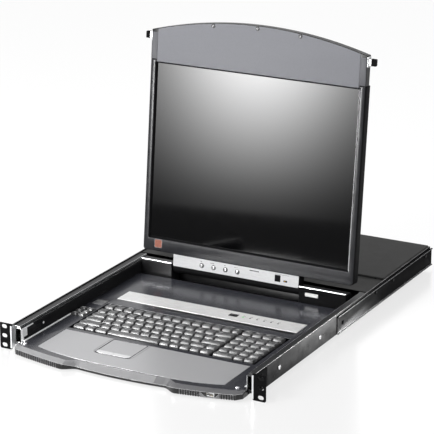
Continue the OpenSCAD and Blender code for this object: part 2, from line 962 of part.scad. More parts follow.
// The outline of the palm rest, with some play round it
module palm_outline(play) {
    half = panel_half + play;
    polygon(concat(
        [for (i = [0:palm_samples]) let (x = across(i, half, palm_samples)) [x, palm_edge(x) - play]],
        [[half, palm_end + play], [-half, palm_end + play]]));
}

module deck() {
    pad_right = pad_left + pad_w;
    well_end = pad_button_start + pad_button_d + square_play;
    open_z = deck_top + over;
    color([0.1, 0.1, 0.11])
    place()
    difference() {
        union() {
            translate([0, 0, deck_low])
            linear_extrude(deck_t)
            deck_outline();
            for (side = [-1, 1])
                sided(side)
                block([deck_half - deck_side, lip_back, floor_z], [deck_half, deck_end, deck_low]);
            block([-deck_half + deck_side, deck_end - deck_side, floor_z],
                [deck_half - deck_side, deck_end, deck_low]);
            block([pad_left - shelf_edge, pad_button_start - square_play - shelf_edge, plate_low],
                [pad_right + shelf_edge, well_end + shelf_edge, deck_low]);
        }
        // Pockets for the palm rest, the touchpad and the status strip
        translate([0, 0, pocket_z])
        linear_extrude(open_z - pocket_z)
        palm_outline(panel_play_side);
        block([pad_left, pad_start, pad_z], [pad_right, pad_end, open_z]);
        block([-panel_half - panel_play_side, strip_start - panel_play_side, pocket_z],
            [panel_half + panel_play_side, strip_start + strip_d + panel_play_side, open_z]);
        // Wells for the keys and the touchpad buttons
        block([key_left - key_well_edge, key_start - key_well_edge, floor_z],
            [-key_left + key_well_edge, key_end + key_well_edge, open_z]);
        block([side_well_left, side_well_start, floor_z],
            [side_well_right, side_well_start + side_well_d, open_z]);
        block([pad_left, pad_button_start - square_play, plate_top], [pad_right, well_end, open_z]);
        for (i = [0, 1])
            touch_button_middle(i)
            guide_hole();
    }
}

module palm_rest() {
    pad_right = pad_left + pad_w;
    color([0.33, 0.33, 0.35])
    place()
    difference() {
        translate([0, 0, pocket_z])
        linear_extrude(palm_t)
        palm_outline(0);
        block([pad_left - pad_frame, pad_button_start - pad_frame, pocket_z - over],
            [pad_right + pad_frame, pad_end + pad_frame, deck_top + over]);
    }
}

module touchpad() {
    color([0.38, 0.38, 0.4])
    place()
    block([pad_left + pad_play, pad_start + pad_play, pad_z],
        [pad_left + pad_w - pad_play, pad_end - pad_play, pad_z + pad_t]);
}

function touch_button_x(i) = pad_left + square_play + i * (pad_button_w + square_play);

// Moves to the middle of a touchpad button
module touch_button_middle(i) {
    translate([touch_button_x(i) + pad_button_w / 2, pad_button_start + pad_button_d / 2, 0])
    children();
}

// A hole for a stem in what guides it
module guide_hole() {
    translate([0, 0, plate_low - over])
    cylinder(r = stem_r + stem_play, h = plate_t + 2 * over);
}

module touch_button(i) {
    color([0.7, 0.7, 0.72])
    place()
    touch_button_middle(i) {
        translate([-pad_button_w / 2, -pad_button_d / 2, pad_button_low])
        cube([pad_button_w, pad_button_d, pad_button_t]);
        translate([0, 0, stem_low])
        cylinder(r = stem_r, h = pad_button_low - stem_low);
    }
}

// Calls its children at the middle of each key of a row, with the key's width in $key_w
module each_key(r) {
    y = row_y(r) + row_pitch / 2;
    pad_left_x = key_left + (main_units + pad_gap_units) * key_pitch;
    for (part = [[key_left, row_main[r]], [pad_left_x, row_pad[r]]], i = [0:len(part[1]) - 1]) {
        $key_w = part[1][i] * key_pitch - key_gap;
        translate([part[0] + (sum(part[1], i) + part[1][i] / 2) * key_pitch, y, 0])
        children();
    }
}

// A stepped cap on a round stem
module key_cap(w, d) {
    translate([-w / 2, -d / 2, key_low])
    cube([w, d, key_step_z - key_low]);
    translate([-w / 2 + key_inset, -d / 2 + key_inset, key_step_z])
    cube([w - 2 * key_inset, d - 2 * key_inset, key_top - key_step_z]);
    translate([0, 0, stem_low])
    cylinder(r = stem_r, h = key_low - stem_low);
}

module key_row(r) {
    color([0.16, 0.16, 0.17])
    place()
    each_key(r)
    key_cap($key_w, row_pitch - key_gap);
}

module side_keys() {
    color([0.3, 0.3, 0.32])
    place()
    for (x = side_key_x, y = side_key_y)
        translate([x, y, 0])
        key_cap(side_key_w, side_key_w);
}

module keyboard_plate() {
    edge = key_well_edge + plate_edge;
    color([0.45, 0.46, 0.48])
    place()
    difference() {
        union() {
            block([side_well_left + plate_side, key_start - edge, plate_low],
                [edge - key_left, key_end + edge, plate_top]);
            for (x = [-plate_foot_x, 0, plate_foot_x], y = [key_start, key_end])
                translate([x, y, floor_z])
                cylinder(r = plate_foot_r, h = plate_low - floor_z);
        }
        for (r = [0:row_count - 1])
            each_key(r)
            guide_hole();
        for (x = side_key_x, y = side_key_y)
            translate([x, y, 0])
            guide_hole();
    }
}

module status_strip() {
    color([0.72, 0.73, 0.75])
    place()
    translate([-panel_half, strip_start, pocket_z])
    cube([2 * panel_half, strip_d, strip_t]);
}

// A block on the tray floor with a round bore for a hinge shaft
module hinge_block(ends, bore_from, bore_to) {
    difference() {
        translate([ends[0], 0, 0])
        rotate([90, 0, 90])
        linear_extrude(ends[1] - ends[0])
        polygon([[block_start, floor_z], [block_start, block_top], [block_shoulder, block_top],
            [block_end, block_crest], [block_end, floor_z]]);
        bore_x(bore_from, bore_to, hinge_y, hinge_z, shaft_r + shaft_play);
    }
}

module left_hinge_block() {
    color([0.06, 0.06, 0.065])
    place()
    hinge_block(left_block, left_block[1] - shaft_out, left_block[1] + over);
}

module right_hinge_block() {
    pocket = square_play;
    button_x1 = block_button_x + block_button_w;
    color([0.06, 0.06, 0.065])
    place()
    difference() {
        hinge_block(right_block, right_block[0] - over, right_block[0] + shaft_out);
        block([block_button_x - pocket, block_start - over, block_button_z - block_button_h - pocket],
            [button_x1 + pocket, block_start + block_pocket_d, block_button_z + pocket]);
    }
}

module block_button() {
    color([0.8, 0.81, 0.82])
    place()
    translate([block_button_x, block_start - block_button_out, block_button_z - block_button_h])
    cube([block_button_w, block_button_d, block_button_h]);
}

module hinge_trims() {
    color([0.85, 0.86, 0.88])
    place()
    for (ends = [left_block, right_block])
        block([ends[0], block_start, block_top], [ends[1], block_start + trim_d, block_top + trim_h]);
}

module tray_posts() {
    color([0.85, 0.86, 0.88])
    place()
    for (side = [-1, 1])
        translate([side * post_x, post_y, deck_top])
        cylinder(r = post_r, h = post_h);
}

module tray_board() {
    chip_z = tray_board_z + board_t;
    color([0.05, 0.3, 0.12])
    place() {
        block([-tray_board_half, tray_board_start, tray_board_z],
            [tray_board_half, tray_board_end, tray_board_z + board_t]);
        for (side = [-1, 1], y = [tray_board_start + tray_board_inset, tray_board_end - tray_board_inset])
            translate([side * (tray_board_half - tray_board_side), y, floor_z])
            cylinder(r = standoff_r, h = tray_board_z - floor_z);
        for (i = [-1:1])
            translate([tray_chip_step * i - tray_chip_w / 2, tray_board_start + tray_chip_front, chip_z])
            cube([tray_chip_w, tray_chip_w, tray_chip_t]);
    }
}

module hinge_shafts() {
    color([0.7, 0.71, 0.73])
    place()
    screen_frame() {
        bore_x(tongue_left - shaft_out + shaft_end, tongue_left + shaft_in, 0, 0, shaft_r);
        bore_x(tongue_right - shaft_in, tongue_right + shaft_out - shaft_end, 0, 0, shaft_r);
    }
}

module hinge_tongue() {
    color([0.07, 0.07, 0.075])
    place()
    screen_frame()
    difference() {
        union() {
            block([tongue_left, -lcd_front, 0], [tongue_right, tongue_back, lcd_low]);
            bore_x(tongue_left, tongue_right, 0, 0, tongue_drop);
        }
        bore_x(tongue_left - over, tongue_left + shaft_in, 0, 0, shaft_r + shaft_fit);
        bore_x(tongue_right - shaft_in, tongue_right + over, 0, 0, shaft_r + shaft_fit);
        for (i = [0:button_count - 1])
            button_place(i, -lcd_front - over)
            cylinder(r = button_r + button_play, h = button_pocket + over);
    }
}

// Puts something pointing into the case at a screen button's place
module button_place(i, depth) {
    translate([button_first + i * button_step, depth, button_h])
    rotate([-90, 0, 0])
    children();
}

module osd_strip() {
    color([0.8, 0.81, 0.82])
    place()
    screen_frame()
    difference() {
        block([osd_left, -lcd_front - osd_t, osd_low], [osd_right, -lcd_front, lcd_low]);
        for (i = [0:button_count - 1])
            button_place(i, -lcd_front - osd_t - over)
            cylinder(r = button_r + button_play, h = osd_t + 2 * over);
    }
}

module osd_button(i) {
    color([0.12, 0.12, 0.13])
    place()
    screen_frame()
    button_place(i, -lcd_front - osd_t - button_out)
    cylinder(r = button_r, h = button_out + osd_t + button_in);
}

module lcd_back() {
    inner = lcd_half - case_t;
    color([0.06, 0.06, 0.065])
    place()
    screen_frame()
    difference() {
        block([-lcd_half, bezel_back, lcd_low], [lcd_half, lcd_back_d, lcd_high]);
        block([-inner, bezel_back - over, lcd_low + case_t],
            [inner, lcd_back_d - case_t, lcd_high - case_t]);
    }
}

module lcd_bezel() {
    color([0.14, 0.14, 0.15])
    place()
    screen_frame()
    difference() {
        block([-lcd_half, -lcd_front, lcd_low], [lcd_half, bezel_back, lcd_high]);
        block([-view_half, -lcd_front - over, view_low], [view_half, bezel_back + over, view_high]);
    }
}

module lcd_panel() {
    color([0.02, 0.02, 0.025])
    place()
    screen_frame()
    block([-view_half - panel_edge, bezel_back, view_low - panel_edge],
        [view_half + panel_edge, panel_back, view_high + panel_edge]);
}

module lcd_board() {
    gap = panel_back + lcd_board_gap;
    color([0.05, 0.3, 0.12])
    place()
    screen_frame() {
        block([-lcd_board_half, gap, lcd_board_low], [lcd_board_half, gap + board_t, lcd_board_high]);
        for (side = [-1, 1], z = [lcd_board_low + lcd_board_inset, lcd_board_high - lcd_board_inset])
            translate([side * (lcd_board_half - lcd_board_side), panel_back, z])
            rotate([-90, 0, 0])
            cylinder(r = standoff_r, h = lcd_board_gap);
    }
}

module arc_plate() {
    color([0.16, 0.16, 0.17])
    place()
    screen_frame()
    difference() {
        translate([0, arc_back, 0])
        rotate([90, 0, 0])
        linear_extrude(arc_back + lcd_front)
        polygon(concat(
            [[-lcd_half, lcd_high], [lcd_half, lcd_high]],
            [for (i = [0:arc_samples])
                let (x = across(arc_samples - i, lcd_half, arc_samples)) [x, arc_edge(x)]]));
        for (side = [-1, 1])
            sided(side)
            block([catch_in - catch_travel - catch_play, catch_front - catch_play, catch_low - catch_play],
                [lcd_half + over, catch_back + catch_play, catch_high + catch_play]);
    }
}

module catch(side) {
    color([0.08, 0.08, 0.085])
    place()
    screen_frame()
    sided(side)
    block([catch_in, catch_front, catch_low], [catch_out, catch_back, catch_high]);
}

side_plate(-1);  // left_side_plate
side_plate(1);  // right_side_plate
rack_ear(-1);  // left_rack_ear
rack_ear(1);  // right_rack_ear
outer_slide(-1);  // left_outer_slide
outer_slide(1);  // right_outer_slide
middle_slide(-1);  // left_middle_slide
middle_slide(1);  // right_middle_slide
inner_slide(-1);  // left_inner_slide
inner_slide(1);  // right_inner_slide
outer_rail(-1);  // left_outer_rail
outer_rail(1);  // right_outer_rail
housing_pan();
housing_cover();
rear_panel();
bay_plate();
switch_board();
power_supply();
rear_sockets();
power_inlet();
power_rocker();
case_screws();
tray();
front_lip();
deck();
palm_rest();
touchpad();
touch_button(0);  // touch_button_left
touch_button(1);  // touch_button_right
keyboard_plate();
key_row(0);  // space_keys
key_row(1);  // lower_keys
key_row(2);  // home_keys
key_row(3);  // upper_keys
key_row(4);  // number_keys
key_row(5);  // function_keys
side_keys();
status_strip();
left_hinge_block();
right_hinge_block();
hinge_trims();
block_button();
tray_posts();
tray_board();
usb_socket();
hinge_shafts();
hinge_tongue();
lcd_back();
lcd_bezel();
lcd_panel();
lcd_board();
arc_plate();
catch(-1);  // left_catch
catch(1);  // right_catch
osd_strip();
osd_button(0);  // osd_button_1
osd_button(1);  // osd_button_2
osd_button(2);  // osd_button_3
osd_button(3);  // osd_button_4
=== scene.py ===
import json
import math

import bmesh
import bpy
from mathutils import Matrix, Vector


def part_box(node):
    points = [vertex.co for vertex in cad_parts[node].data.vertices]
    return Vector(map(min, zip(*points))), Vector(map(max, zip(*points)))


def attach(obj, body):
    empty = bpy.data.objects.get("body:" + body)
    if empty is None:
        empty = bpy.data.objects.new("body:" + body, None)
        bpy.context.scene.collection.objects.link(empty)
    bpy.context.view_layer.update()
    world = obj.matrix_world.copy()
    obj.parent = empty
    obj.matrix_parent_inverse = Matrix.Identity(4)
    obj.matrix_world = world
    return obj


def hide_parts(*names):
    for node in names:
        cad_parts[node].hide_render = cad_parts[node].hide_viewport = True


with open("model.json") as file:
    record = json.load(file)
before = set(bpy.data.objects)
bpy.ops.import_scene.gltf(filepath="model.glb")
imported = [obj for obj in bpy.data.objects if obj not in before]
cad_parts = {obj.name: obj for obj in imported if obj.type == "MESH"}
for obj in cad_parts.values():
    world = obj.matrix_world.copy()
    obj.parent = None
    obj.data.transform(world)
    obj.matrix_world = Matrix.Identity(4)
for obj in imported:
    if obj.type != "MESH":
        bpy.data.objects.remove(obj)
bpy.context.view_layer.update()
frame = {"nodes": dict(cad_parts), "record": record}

RECORD = frame["record"]
NODES = frame["nodes"]
BODY = {n: b for b, ns in RECORD["behaviour"]["bodies"].items() for n in ns}

# Lengths below are millimetres: x across, y back from the rack ears' plane, z up
MM = 0.001
EAR_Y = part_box("left_side_plate")[0].y
HINGE_Y, HINGE_Z, LEAN_DEG = 396, 30, 6
CHASSIS = Matrix.Translation((0, EAR_Y, 0)) @ Matrix.Scale(MM, 4)
# The screen's own frame: x across, y depth, z height above the hinge axis
SCREEN = (CHASSIS @ Matrix.Translation((0, HINGE_Y, HINGE_Z))
          @ Matrix.Rotation(math.radians(-LEAN_DEG), 4, "X"))
UP, BACK, FRONT = (0, 0, 1), (0, 1, 0), (0, -1, 0)
LEFT_RIGHT = (-1, 1)


# ---------- materials

MAT = {}
DRIFT_DETAIL, DRIFT_ROUGH, DRIFT_FROM, DRIFT_TO = 5.0, 0.6, 0.3, 0.7
FINE_DETAIL, FINE_SHARE, GLOSS_FROM, GLOSS_TO = 3.0, 0.35, 0.4, 0.9
LEAST_ROUGH = 0.02
BUMP_DEPTH = 0.0004


def socket(node, name, value):
    node.inputs[name].default_value = value


def sum_node(tree, operation, *values):
    """A sum in a node tree, whose values are numbers or outputs of other nodes."""
    node = tree.nodes.new("ShaderNodeMath")
    node.operation = operation
    for i, value in enumerate(values):
        if isinstance(value, bpy.types.NodeSocket):
            tree.links.new(value, node.inputs[i])
        else:
            socket(node, i, value)
    return node.outputs[0]


def material(name, color, rough, metallic=0.0, tone=0.12, tone_scale=60.0, rough_swing=0.08,
             grain=0.06, grain_scale=1600.0, stretch=(1, 1, 1), specular=0.5):
    """A moulded, coated or plated surface: its tone and gloss drift a little, over a fine grain."""
    mat = MAT[name] = bpy.data.materials.new(name)
    mat.use_nodes = True
    tree = mat.node_tree
    add, link = tree.nodes.new, tree.links.new
    shader = tree.nodes["Principled BSDF"]
    socket(shader, "Metallic", metallic)
    socket(shader, "Specular IOR Level", specular)
    place = add("ShaderNodeTexCoord")
    mapping = add("ShaderNodeMapping")
    socket(mapping, "Scale", stretch)
    link(place.outputs["Object"], mapping.inputs["Vector"])
    drift = add("ShaderNodeTexNoise")
    socket(drift, "Scale", tone_scale)
    socket(drift, "Detail", DRIFT_DETAIL)
    socket(drift, "Roughness", DRIFT_ROUGH)
    link(mapping.outputs["Vector"], drift.inputs["Vector"])
    ramp = add("ShaderNodeValToRGB")
    dark, light = ramp.color_ramp.elements
    dark.position, light.position = DRIFT_FROM, DRIFT_TO
    dark.color = [c * (1 - tone) for c in color] + [1]
    light.color = [min(1, c * (1 + tone)) for c in color] + [1]
    link(drift.outputs["Fac"], ramp.inputs["Fac"])
    link(ramp.outputs["Color"], shader.inputs["Base Color"])
    fine = add("ShaderNodeTexNoise")
    socket(fine, "Scale", grain_scale)
    socket(fine, "Detail", FINE_DETAIL)
    link(mapping.outputs["Vector"], fine.inputs["Vector"])
    gloss = add("ShaderNodeMapRange")
    socket(gloss, "From Min", GLOSS_FROM)
    socket(gloss, "From Max", GLOSS_TO)
    socket(gloss, "To Min", max(LEAST_ROUGH, rough - rough_swing))
    socket(gloss, "To Max", min(1, rough + rough_swing))
    link(sum_node(tree, "MULTIPLY_ADD", fine.outputs["Fac"], FINE_SHARE, drift.outputs["Fac"]),
         gloss.inputs["Value"])
    link(gloss.outputs["Result"], shader.inputs["Roughness"])
    bump = add("ShaderNodeBump")
    socket(bump, "Strength", grain)
    socket(bump, "Distance", BUMP_DEPTH)
    link(fine.outputs["Fac"], bump.inputs["Height"])
    link(bump.outputs["Normal"], shader.inputs["Normal"])
    return mat


def lamp(name, color, strength):
    """A small lamp lens that glows a little."""
    shader = material(name, color, 0.25, tone=0.2, tone_scale=900,
                      grain=0.03).node_tree.nodes["Principled BSDF"]
    socket(shader, "Emission Color", (*color, 1))
    socket(shader, "Emission Strength", strength)


# Grain drawn out along x or y, as on brushed or rolled metal
ALONG_X, BRUSHED_X = (0.1, 1, 1), (0.25, 1, 1)
ALONG_Y, ROLLED_Y = (1, 0.1, 1), (1, 0.08, 1)

# Paint and black plastic
POWDER = dict(grain=0.14, grain_scale=1300)
material("powder_black", (0.005, 0.005, 0.0055), 0.4, specular=0.008, **POWDER)
material("rail_black", (0.004, 0.004, 0.0045), 0.42, specular=0.005, **POWDER)
material("shell_black", (0.006, 0.006, 0.0065), 0.5, grain=0.1, specular=0.02)
# Pale grey for rounded edges: painted highlight lines
material("edge_highlight_grey", (0.26, 0.26, 0.265), 0.5, tone=0.2, tone_scale=300, grain=0.05, specular=0.05)
material("tray_black", (0.008, 0.008, 0.0088), 0.36, grain=0.12, grain_scale=1300, specular=0.1)
material("cover_grey", (0.042, 0.042, 0.0415), 0.55, grain=0.22, grain_scale=1100, specular=0.1)
material("black_plastic", (0.008, 0.008, 0.0088), 0.36, grain=0.1, specular=0.2)
material("deck_plastic", (0.032, 0.033, 0.04), 0.22, tone=0.05, rough_swing=0.02, grain=0.01,
         specular=0.7)
material("key_plastic", (0.09, 0.09, 0.0925), 0.28, tone=0.1, tone_scale=90, grain=0.04,
         specular=0.4)
material("rubber", (0.02, 0.02, 0.021), 0.62, grain=0.2, grain_scale=1500)

# Metal
material("slide_black", (0.018, 0.018, 0.019), 0.42, rough_swing=0.05, stretch=ALONG_Y,
         specular=0.35)
material("slide_steel", (0.34, 0.345, 0.35), 0.2, metallic=1, tone=0.1, tone_scale=40,
         stretch=ROLLED_Y, grain=0.04)
material("zinc", (0.72, 0.73, 0.74), 0.32, metallic=0.7, tone=0.08, tone_scale=40,
         stretch=ROLLED_Y, grain=0.05)
# Near-white, mostly diffuse zinc: a painted reflection of bright zinc
material("zinc_lit_white", (0.93, 0.935, 0.94), 0.42, metallic=0.3, tone=0.03, stretch=ALONG_Y)
material("catch_zinc", (0.62, 0.625, 0.63), 0.4, metallic=0.4, tone=0.1, tone_scale=200, grain=0.08)
material("screw_steel", (0.86, 0.86, 0.87), 0.22, metallic=1, tone=0.06, tone_scale=400)
material("screw_black", (0.012, 0.012, 0.0125), 0.5, tone=0.15, tone_scale=400, specular=0.03)
material("shaft_steel", (0.5, 0.5, 0.52), 0.3, metallic=1, tone=0.08, tone_scale=90,
         stretch=ALONG_X)
material("box_alloy", (0.68, 0.69, 0.7), 0.4, metallic=1, tone=0.08, tone_scale=50)
material("trim_chrome", (0.56, 0.565, 0.58), 0.2, metallic=1, tone=0.05, tone_scale=80,
         stretch=ALONG_X)
material("gold", (0.83, 0.6, 0.22), 0.25, metallic=1, tone=0.08, tone_scale=900)

# The front lip, the palm rest and the silver strips
LIP = dict(rough=0.3, tone=0.05, rough_swing=0.03, grain=0.03)
# The lip's top greys paint light falling from the left: paler at the left, darker at the right
material("lip_lit_grey", (0.27, 0.27, 0.276), **LIP)
material("lip_grey", (0.19, 0.19, 0.196), **LIP)
material("lip_shaded_grey", (0.085, 0.085, 0.09), **LIP)
material("lip_black", (0.006, 0.006, 0.0065), 0.28, specular=0.4)
PALM = dict(tone=0.05, tone_scale=2600)
material("palm_grey", (0.4, 0.4, 0.41), 0.32, metallic=0.2, rough_swing=0.05, grain=0.04, **PALM)
material("pad_grey", (0.4, 0.4, 0.41), 0.42, metallic=0.1, grain=0.08, **PALM)
material("pad_rim", (0.26, 0.26, 0.27), 0.36, metallic=0.1, grain=0.05, **PALM)
material("button_silver", (0.66, 0.66, 0.67), 0.34, metallic=0.2, tone=0.05, tone_scale=900)
material("button_white", (0.8, 0.8, 0.79), 0.36, tone=0.05, tone_scale=700)
material("strip_silver", (0.74, 0.74, 0.735), 0.38, metallic=0.2, tone=0.1, tone_scale=420,
         stretch=BRUSHED_X)
material("osd_silver", (0.66, 0.662, 0.67), 0.5, tone=0.06, tone_scale=420, stretch=BRUSHED_X,
         specular=0.06)
material("dome_grey", (0.12, 0.12, 0.125), 0.24, metallic=0.4, tone=0.08, tone_scale=700)
material("plate_dark", (0.11, 0.11, 0.115), 0.4, metallic=0.2, tone=0.08, tone_scale=900)

# The screen
material("bezel_grey", (0.026, 0.0265, 0.0295), 0.19, tone=0.06, grain=0.04, specular=0.12)
# Pale grey on the frame's right chamfer and the lip's front edge: painted highlights
material("highlight_grey", (0.44, 0.44, 0.445), 0.35, tone=0.08, grain=0.03, specular=0.2)
material("arc_grey", (0.228, 0.231, 0.252), 0.5, tone=0.06, tone_scale=700, grain=0.05,
         specular=0.08)
material("strip_grey", (0.14, 0.141, 0.152), 0.45, tone=0.06, grain=0.05, specular=0.08)
# A lighter line along the frame's lower border: a painted highlight
material("line_highlight_grey", (0.05, 0.05, 0.054), 0.45, tone=0.06, grain=0.05, specular=0.05)
material("screen", (0.0012, 0.0012, 0.0015), 0.07, tone=0.08, rough_swing=0.01, grain=0.004,
         grain_scale=3800, specular=0.06)

# Marks, lamps and boards
material("legend", (0.82, 0.82, 0.81), 0.5, tone=0.08, tone_scale=700)
material("mark_dark", (0.04, 0.04, 0.045), 0.5, tone=0.15, tone_scale=700)
material("window", (0.004, 0.004, 0.005), 0.12, tone=0.1, rough_swing=0.03, grain=0.01)
material("badge", (0.28, 0.065, 0.028), 0.32, tone=0.16, tone_scale=500, grain=0.03, specular=0.2)
material("badge_edge", (0.08, 0.02, 0.012), 0.35, tone=0.1, tone_scale=500, grain=0.03)
material("clear_lamp", (0.3, 0.31, 0.3), 0.2, tone=0.1, tone_scale=900, grain=0.02)
material("board", (0.02, 0.16, 0.06), 0.4, tone=0.25, tone_scale=140)
lamp("green_lamp", (0.1, 0.5, 0.12), 0.3)
lamp("amber_lamp", (0.55, 0.3, 0.04), 0.2)


# ---------- making pieces

SAME_POINT = 2e-6
FLAT_DEG = 0.6


def bevelled(obj, width, segments=2, angle=30, edge=-1):
    """Rounds sharp edges and keeps flats flat. edge is the edges' own material, or -1 for none."""
    mod = obj.modifiers.new("edge", "BEVEL")
    mod.width = width * MM
    mod.segments = segments
    mod.limit_method = "ANGLE"
    mod.angle_limit = math.radians(angle)
    mod.use_clamp_overlap = False
    mod.loop_slide = False
    mod.harden_normals = True
    mod.material = edge
    depsgraph = bpy.context.evaluated_depsgraph_get()
    mesh = bpy.data.meshes.new_from_object(obj.evaluated_get(depsgraph))
    obj.modifiers.clear()
    obj.data = mesh


def piece(name, bm, mat, body, matrix=None, bevel=0, segments=2, angle=35, nodes=(), edge=-1):
    """Turns a bmesh into a piece that rides on a body. Its material may be a list."""
    if matrix is not None:
        bm.transform(matrix)
    bmesh.ops.recalc_face_normals(bm, faces=bm.faces)
    mesh = bpy.data.meshes.new(name)
    bm.to_mesh(mesh)
    bm.free()
    obj = bpy.data.objects.new(name, mesh)
    bpy.context.scene.collection.objects.link(obj)
    for m in (mat if isinstance(mat, (list, tuple)) else [mat]):
        mesh.materials.append(MAT[m])
    mesh.shade_smooth()
    mesh.set_sharp_from_angle(angle=math.radians(angle))
    if bevel:
        bevelled(obj, bevel, segments, edge=edge)
    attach(obj, body)
    if nodes:
        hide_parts(*nodes)
    return obj


def merged(node):
    """A bmesh of a CAD node, with each point once."""
    bm = bmesh.new()
    bm.from_mesh(NODES[node].data)
    bmesh.ops.remove_doubles(bm, verts=bm.verts, dist=SAME_POINT)
    return bm


def skin(node, mat, bevel=0.4, segments=2, edge=-1):
    """The piece that stands for a rigid CAD node, with few faces on its flats and round edges."""
    bm = merged(node)
    bmesh.ops.dissolve_limit(bm, angle_limit=math.radians(FLAT_DEG), verts=bm.verts, edges=bm.edges)
    bmesh.ops.triangulate(bm, faces=[f for f in bm.faces if len(f.verts) > 4])
    return piece(node + "_skin", bm, mat, BODY[node],
                 bevel=bevel, segments=segments, nodes=[node], edge=edge)


def islands(node):
    """The boxes of the separate solids of a node, in millimetres of the chassis frame."""
    bm = merged(node)
    bm.transform(CHASSIS.inverted())
    found, seen = [], set()
    for start in bm.verts:
        if start in seen:
            continue
        todo, group = [start], []
        seen.add(start)
        while todo:
            v = todo.pop()
            group.append(v.co.copy())
            for e in v.link_edges:
                w = e.other_vert(v)
                if w not in seen:
                    seen.add(w)
                    todo.append(w)
        found.append(tuple([pick(c[i] for c in group) for i in range(3)] for pick in (min, max)))
    bm.free()
    return sorted(found, key=lambda b: (round(b[0][1]), b[0][0]))


def add_box(bm, lo, hi, mat=0):
    """Adds a box to a bmesh."""
    made = bmesh.ops.create_cube(bm, size=1)
    size = [b - a for a, b in zip(lo, hi)]
    middle = [(a + b) / 2 for a, b in zip(lo, hi)]
    bmesh.ops.scale(bm, vec=size, verts=made["verts"])
    bmesh.ops.translate(bm, vec=middle, verts=made["verts"])
    for f in {f for v in made["verts"] for f in v.link_faces}:
        f.material_index = mat


def rounded_loop(lo, hi, radii, steps=5):
    """Points of a rectangle with rounded corners, from its lower left corner round."""
    points = []
    corners = [(lo[0], lo[1], 180), (hi[0], lo[1], 270), (hi[0], hi[1], 0), (lo[0], hi[1], 90)]
    for (x, y, start), r in zip(corners, radii):
        cx = x + (r if x == lo[0] else -r)
        cy = y + (r if y == lo[1] else -r)
        for i in range(steps + 1):
            a = math.radians(start + 90 * i / steps)
            points.append((cx + r * math.cos(a), cy + r * math.sin(a)))
    return points


def add_loft(bm, loops, cap_start=True, mat=0, closed=False):
    """Joins loops of as many points by quads. Caps the ends, or joins the last to the first."""
    rings = [[bm.verts.new(p) for p in loop] for loop in loops]
    for a, b in list(zip(rings, rings[1:])) + ([(rings[-1], rings[0])] if closed else []):
        for i in range(len(a)):
            j = (i + 1) % len(a)
            bm.faces.new((a[i], a[j], b[j], b[i])).material_index = mat
    if not closed and cap_start:
        bm.faces.new(list(reversed(rings[0]))).material_index = mat
    if not closed:
        bm.faces.new(rings[-1]).material_index = mat


def on_top(x, y, level):
    """Puts an outline's point on a face that looks up."""
    return x, y, level


def on_front(x, z, level):
    """Puts an outline's point on a face that looks to the front."""
    return x, level, z


def on_side(out):
    """Puts an outline's points on a face that looks to the left, -1, or to the right, 1."""
    return lambda y, z, level: (out * level, y, z)


def add_plate(bm, lo, hi, radius, rims, spot, mat=0, narrow=0):
    """Adds a rounded plate of (inset, level) rims. With narrow=1 an inset cuts the radius too."""
    loops = []
    for inset, level in rims:
        outline = rounded_loop((lo[0] + inset, lo[1] + inset), (hi[0] - inset, hi[1] - inset),
                               (radius - narrow * inset,) * 4)
        loops.append([spot(u, v, level) for u, v in outline])
    add_loft(bm, loops, mat=mat)


def drawn_in(outline, centre, reach, rims):
    """Loops of an outline, each drawn in towards its centre by an inset, at a height."""
    (cx, cy), (rx, ry) = centre, reach
    return [[(x + (cx - x) * inset / rx, y + (cy - y) * inset / ry, z) for x, y in outline]
            for inset, z in rims]


def turns(steps):
    """The angles of a circle's points."""
    return [2 * math.pi * i / steps for i in range(steps)]


def add_turned(bm, centre, axis, profile, steps=24, mat=0):
    """Adds a turned solid: profile holds (radius, height) pairs along the axis."""
    turn = Vector(UP).rotation_difference(Vector(axis)).to_matrix()
    loops = []
    for r, h in profile:
        ring = [Vector((r * math.cos(a), r * math.sin(a), h)) for a in turns(steps)]
        loops.append([Vector(centre) + turn @ p for p in ring])
    add_loft(bm, loops, mat=mat)


def add_ring(bm, x, z, rims, steps):
    """Adds a raised ring on a face that looks along y: rims holds (radius, y) pairs round it."""
    add_loft(bm, [[(x + r * math.cos(a), y, z + r * math.sin(a)) for a in turns(steps)]
                  for r, y in rims], closed=True)


def add_screw(bm, centre, axis, r, h, head=0, recess_shade=1):
    """Adds a pan head with a dark cross on its face: painted shade that stands for the cross
    recess.
    """
    sunk, proud = 0.3, 0.03
    add_turned(bm, centre, axis,
               [(r, -sunk), (r, h * 0.45), (r * 0.86, h * 0.8), (r * 0.55, h)], mat=head)
    turn = Vector(UP).rotation_difference(Vector(axis)).to_matrix()
    arm, half = r * 0.46, r * 0.1
    for a, b in ((arm, half), (half, arm)):
        cross = ((-a, -b), (a, -b), (a, b), (-a, b))
        add_loft(bm, [[Vector(centre) + turn @ Vector((x, y, z)) for x, y in cross]
                      for z in (h * 0.7, h + proud)], mat=recess_shade)


# ---------- chassis, slides and housing

END_FACE = 0.2  # a face whose normal leans more than this along y is an end of a sheet
# The side plates' and rails' rounded edges are pale, as painted highlight lines, except at the
# sheets' ends
for side in ("left", "right"):
    parts = [skin(side + "_side_plate", ["powder_black", "edge_highlight_grey"], 0.45, edge=1)]
    skin(side + "_rack_ear", "shell_black", 0.45)
    parts.append(skin(side + "_outer_rail", ["rail_black", "edge_highlight_grey"], 0.5, edge=1))
    slide = skin(side + "_outer_slide", ["slide_black", "zinc"], 0.5, edge=1)
    # On the right, the shaded side, the outer slide's front ends are black: painted shade
    parts += [slide] if side == "right" else []
    for face in [f for part in parts for f in part.data.polygons if abs(f.normal.y) > END_FACE]:
        face.material_index = 0
    for member in ("_middle_slide", "_inner_slide"):
        slide = skin(side + member, ["slide_steel", "slide_black"], 0.35)
        for face in slide.data.polygons:
            # The middle and inner slides' front ends are black on the right only: painted shade
            face.material_index = 1 if face.normal.y < -END_FACE and side == "right" else 0
skin("housing_pan", "powder_black", 0.35)
skin("housing_cover", "cover_grey", 0.5, 3)
skin("bay_plate", "cover_grey", 0.35)
skin("rear_panel", "powder_black", 0.3)
skin("rear_sockets", "black_plastic", 0.2)
skin("power_inlet", "black_plastic", 0.35)

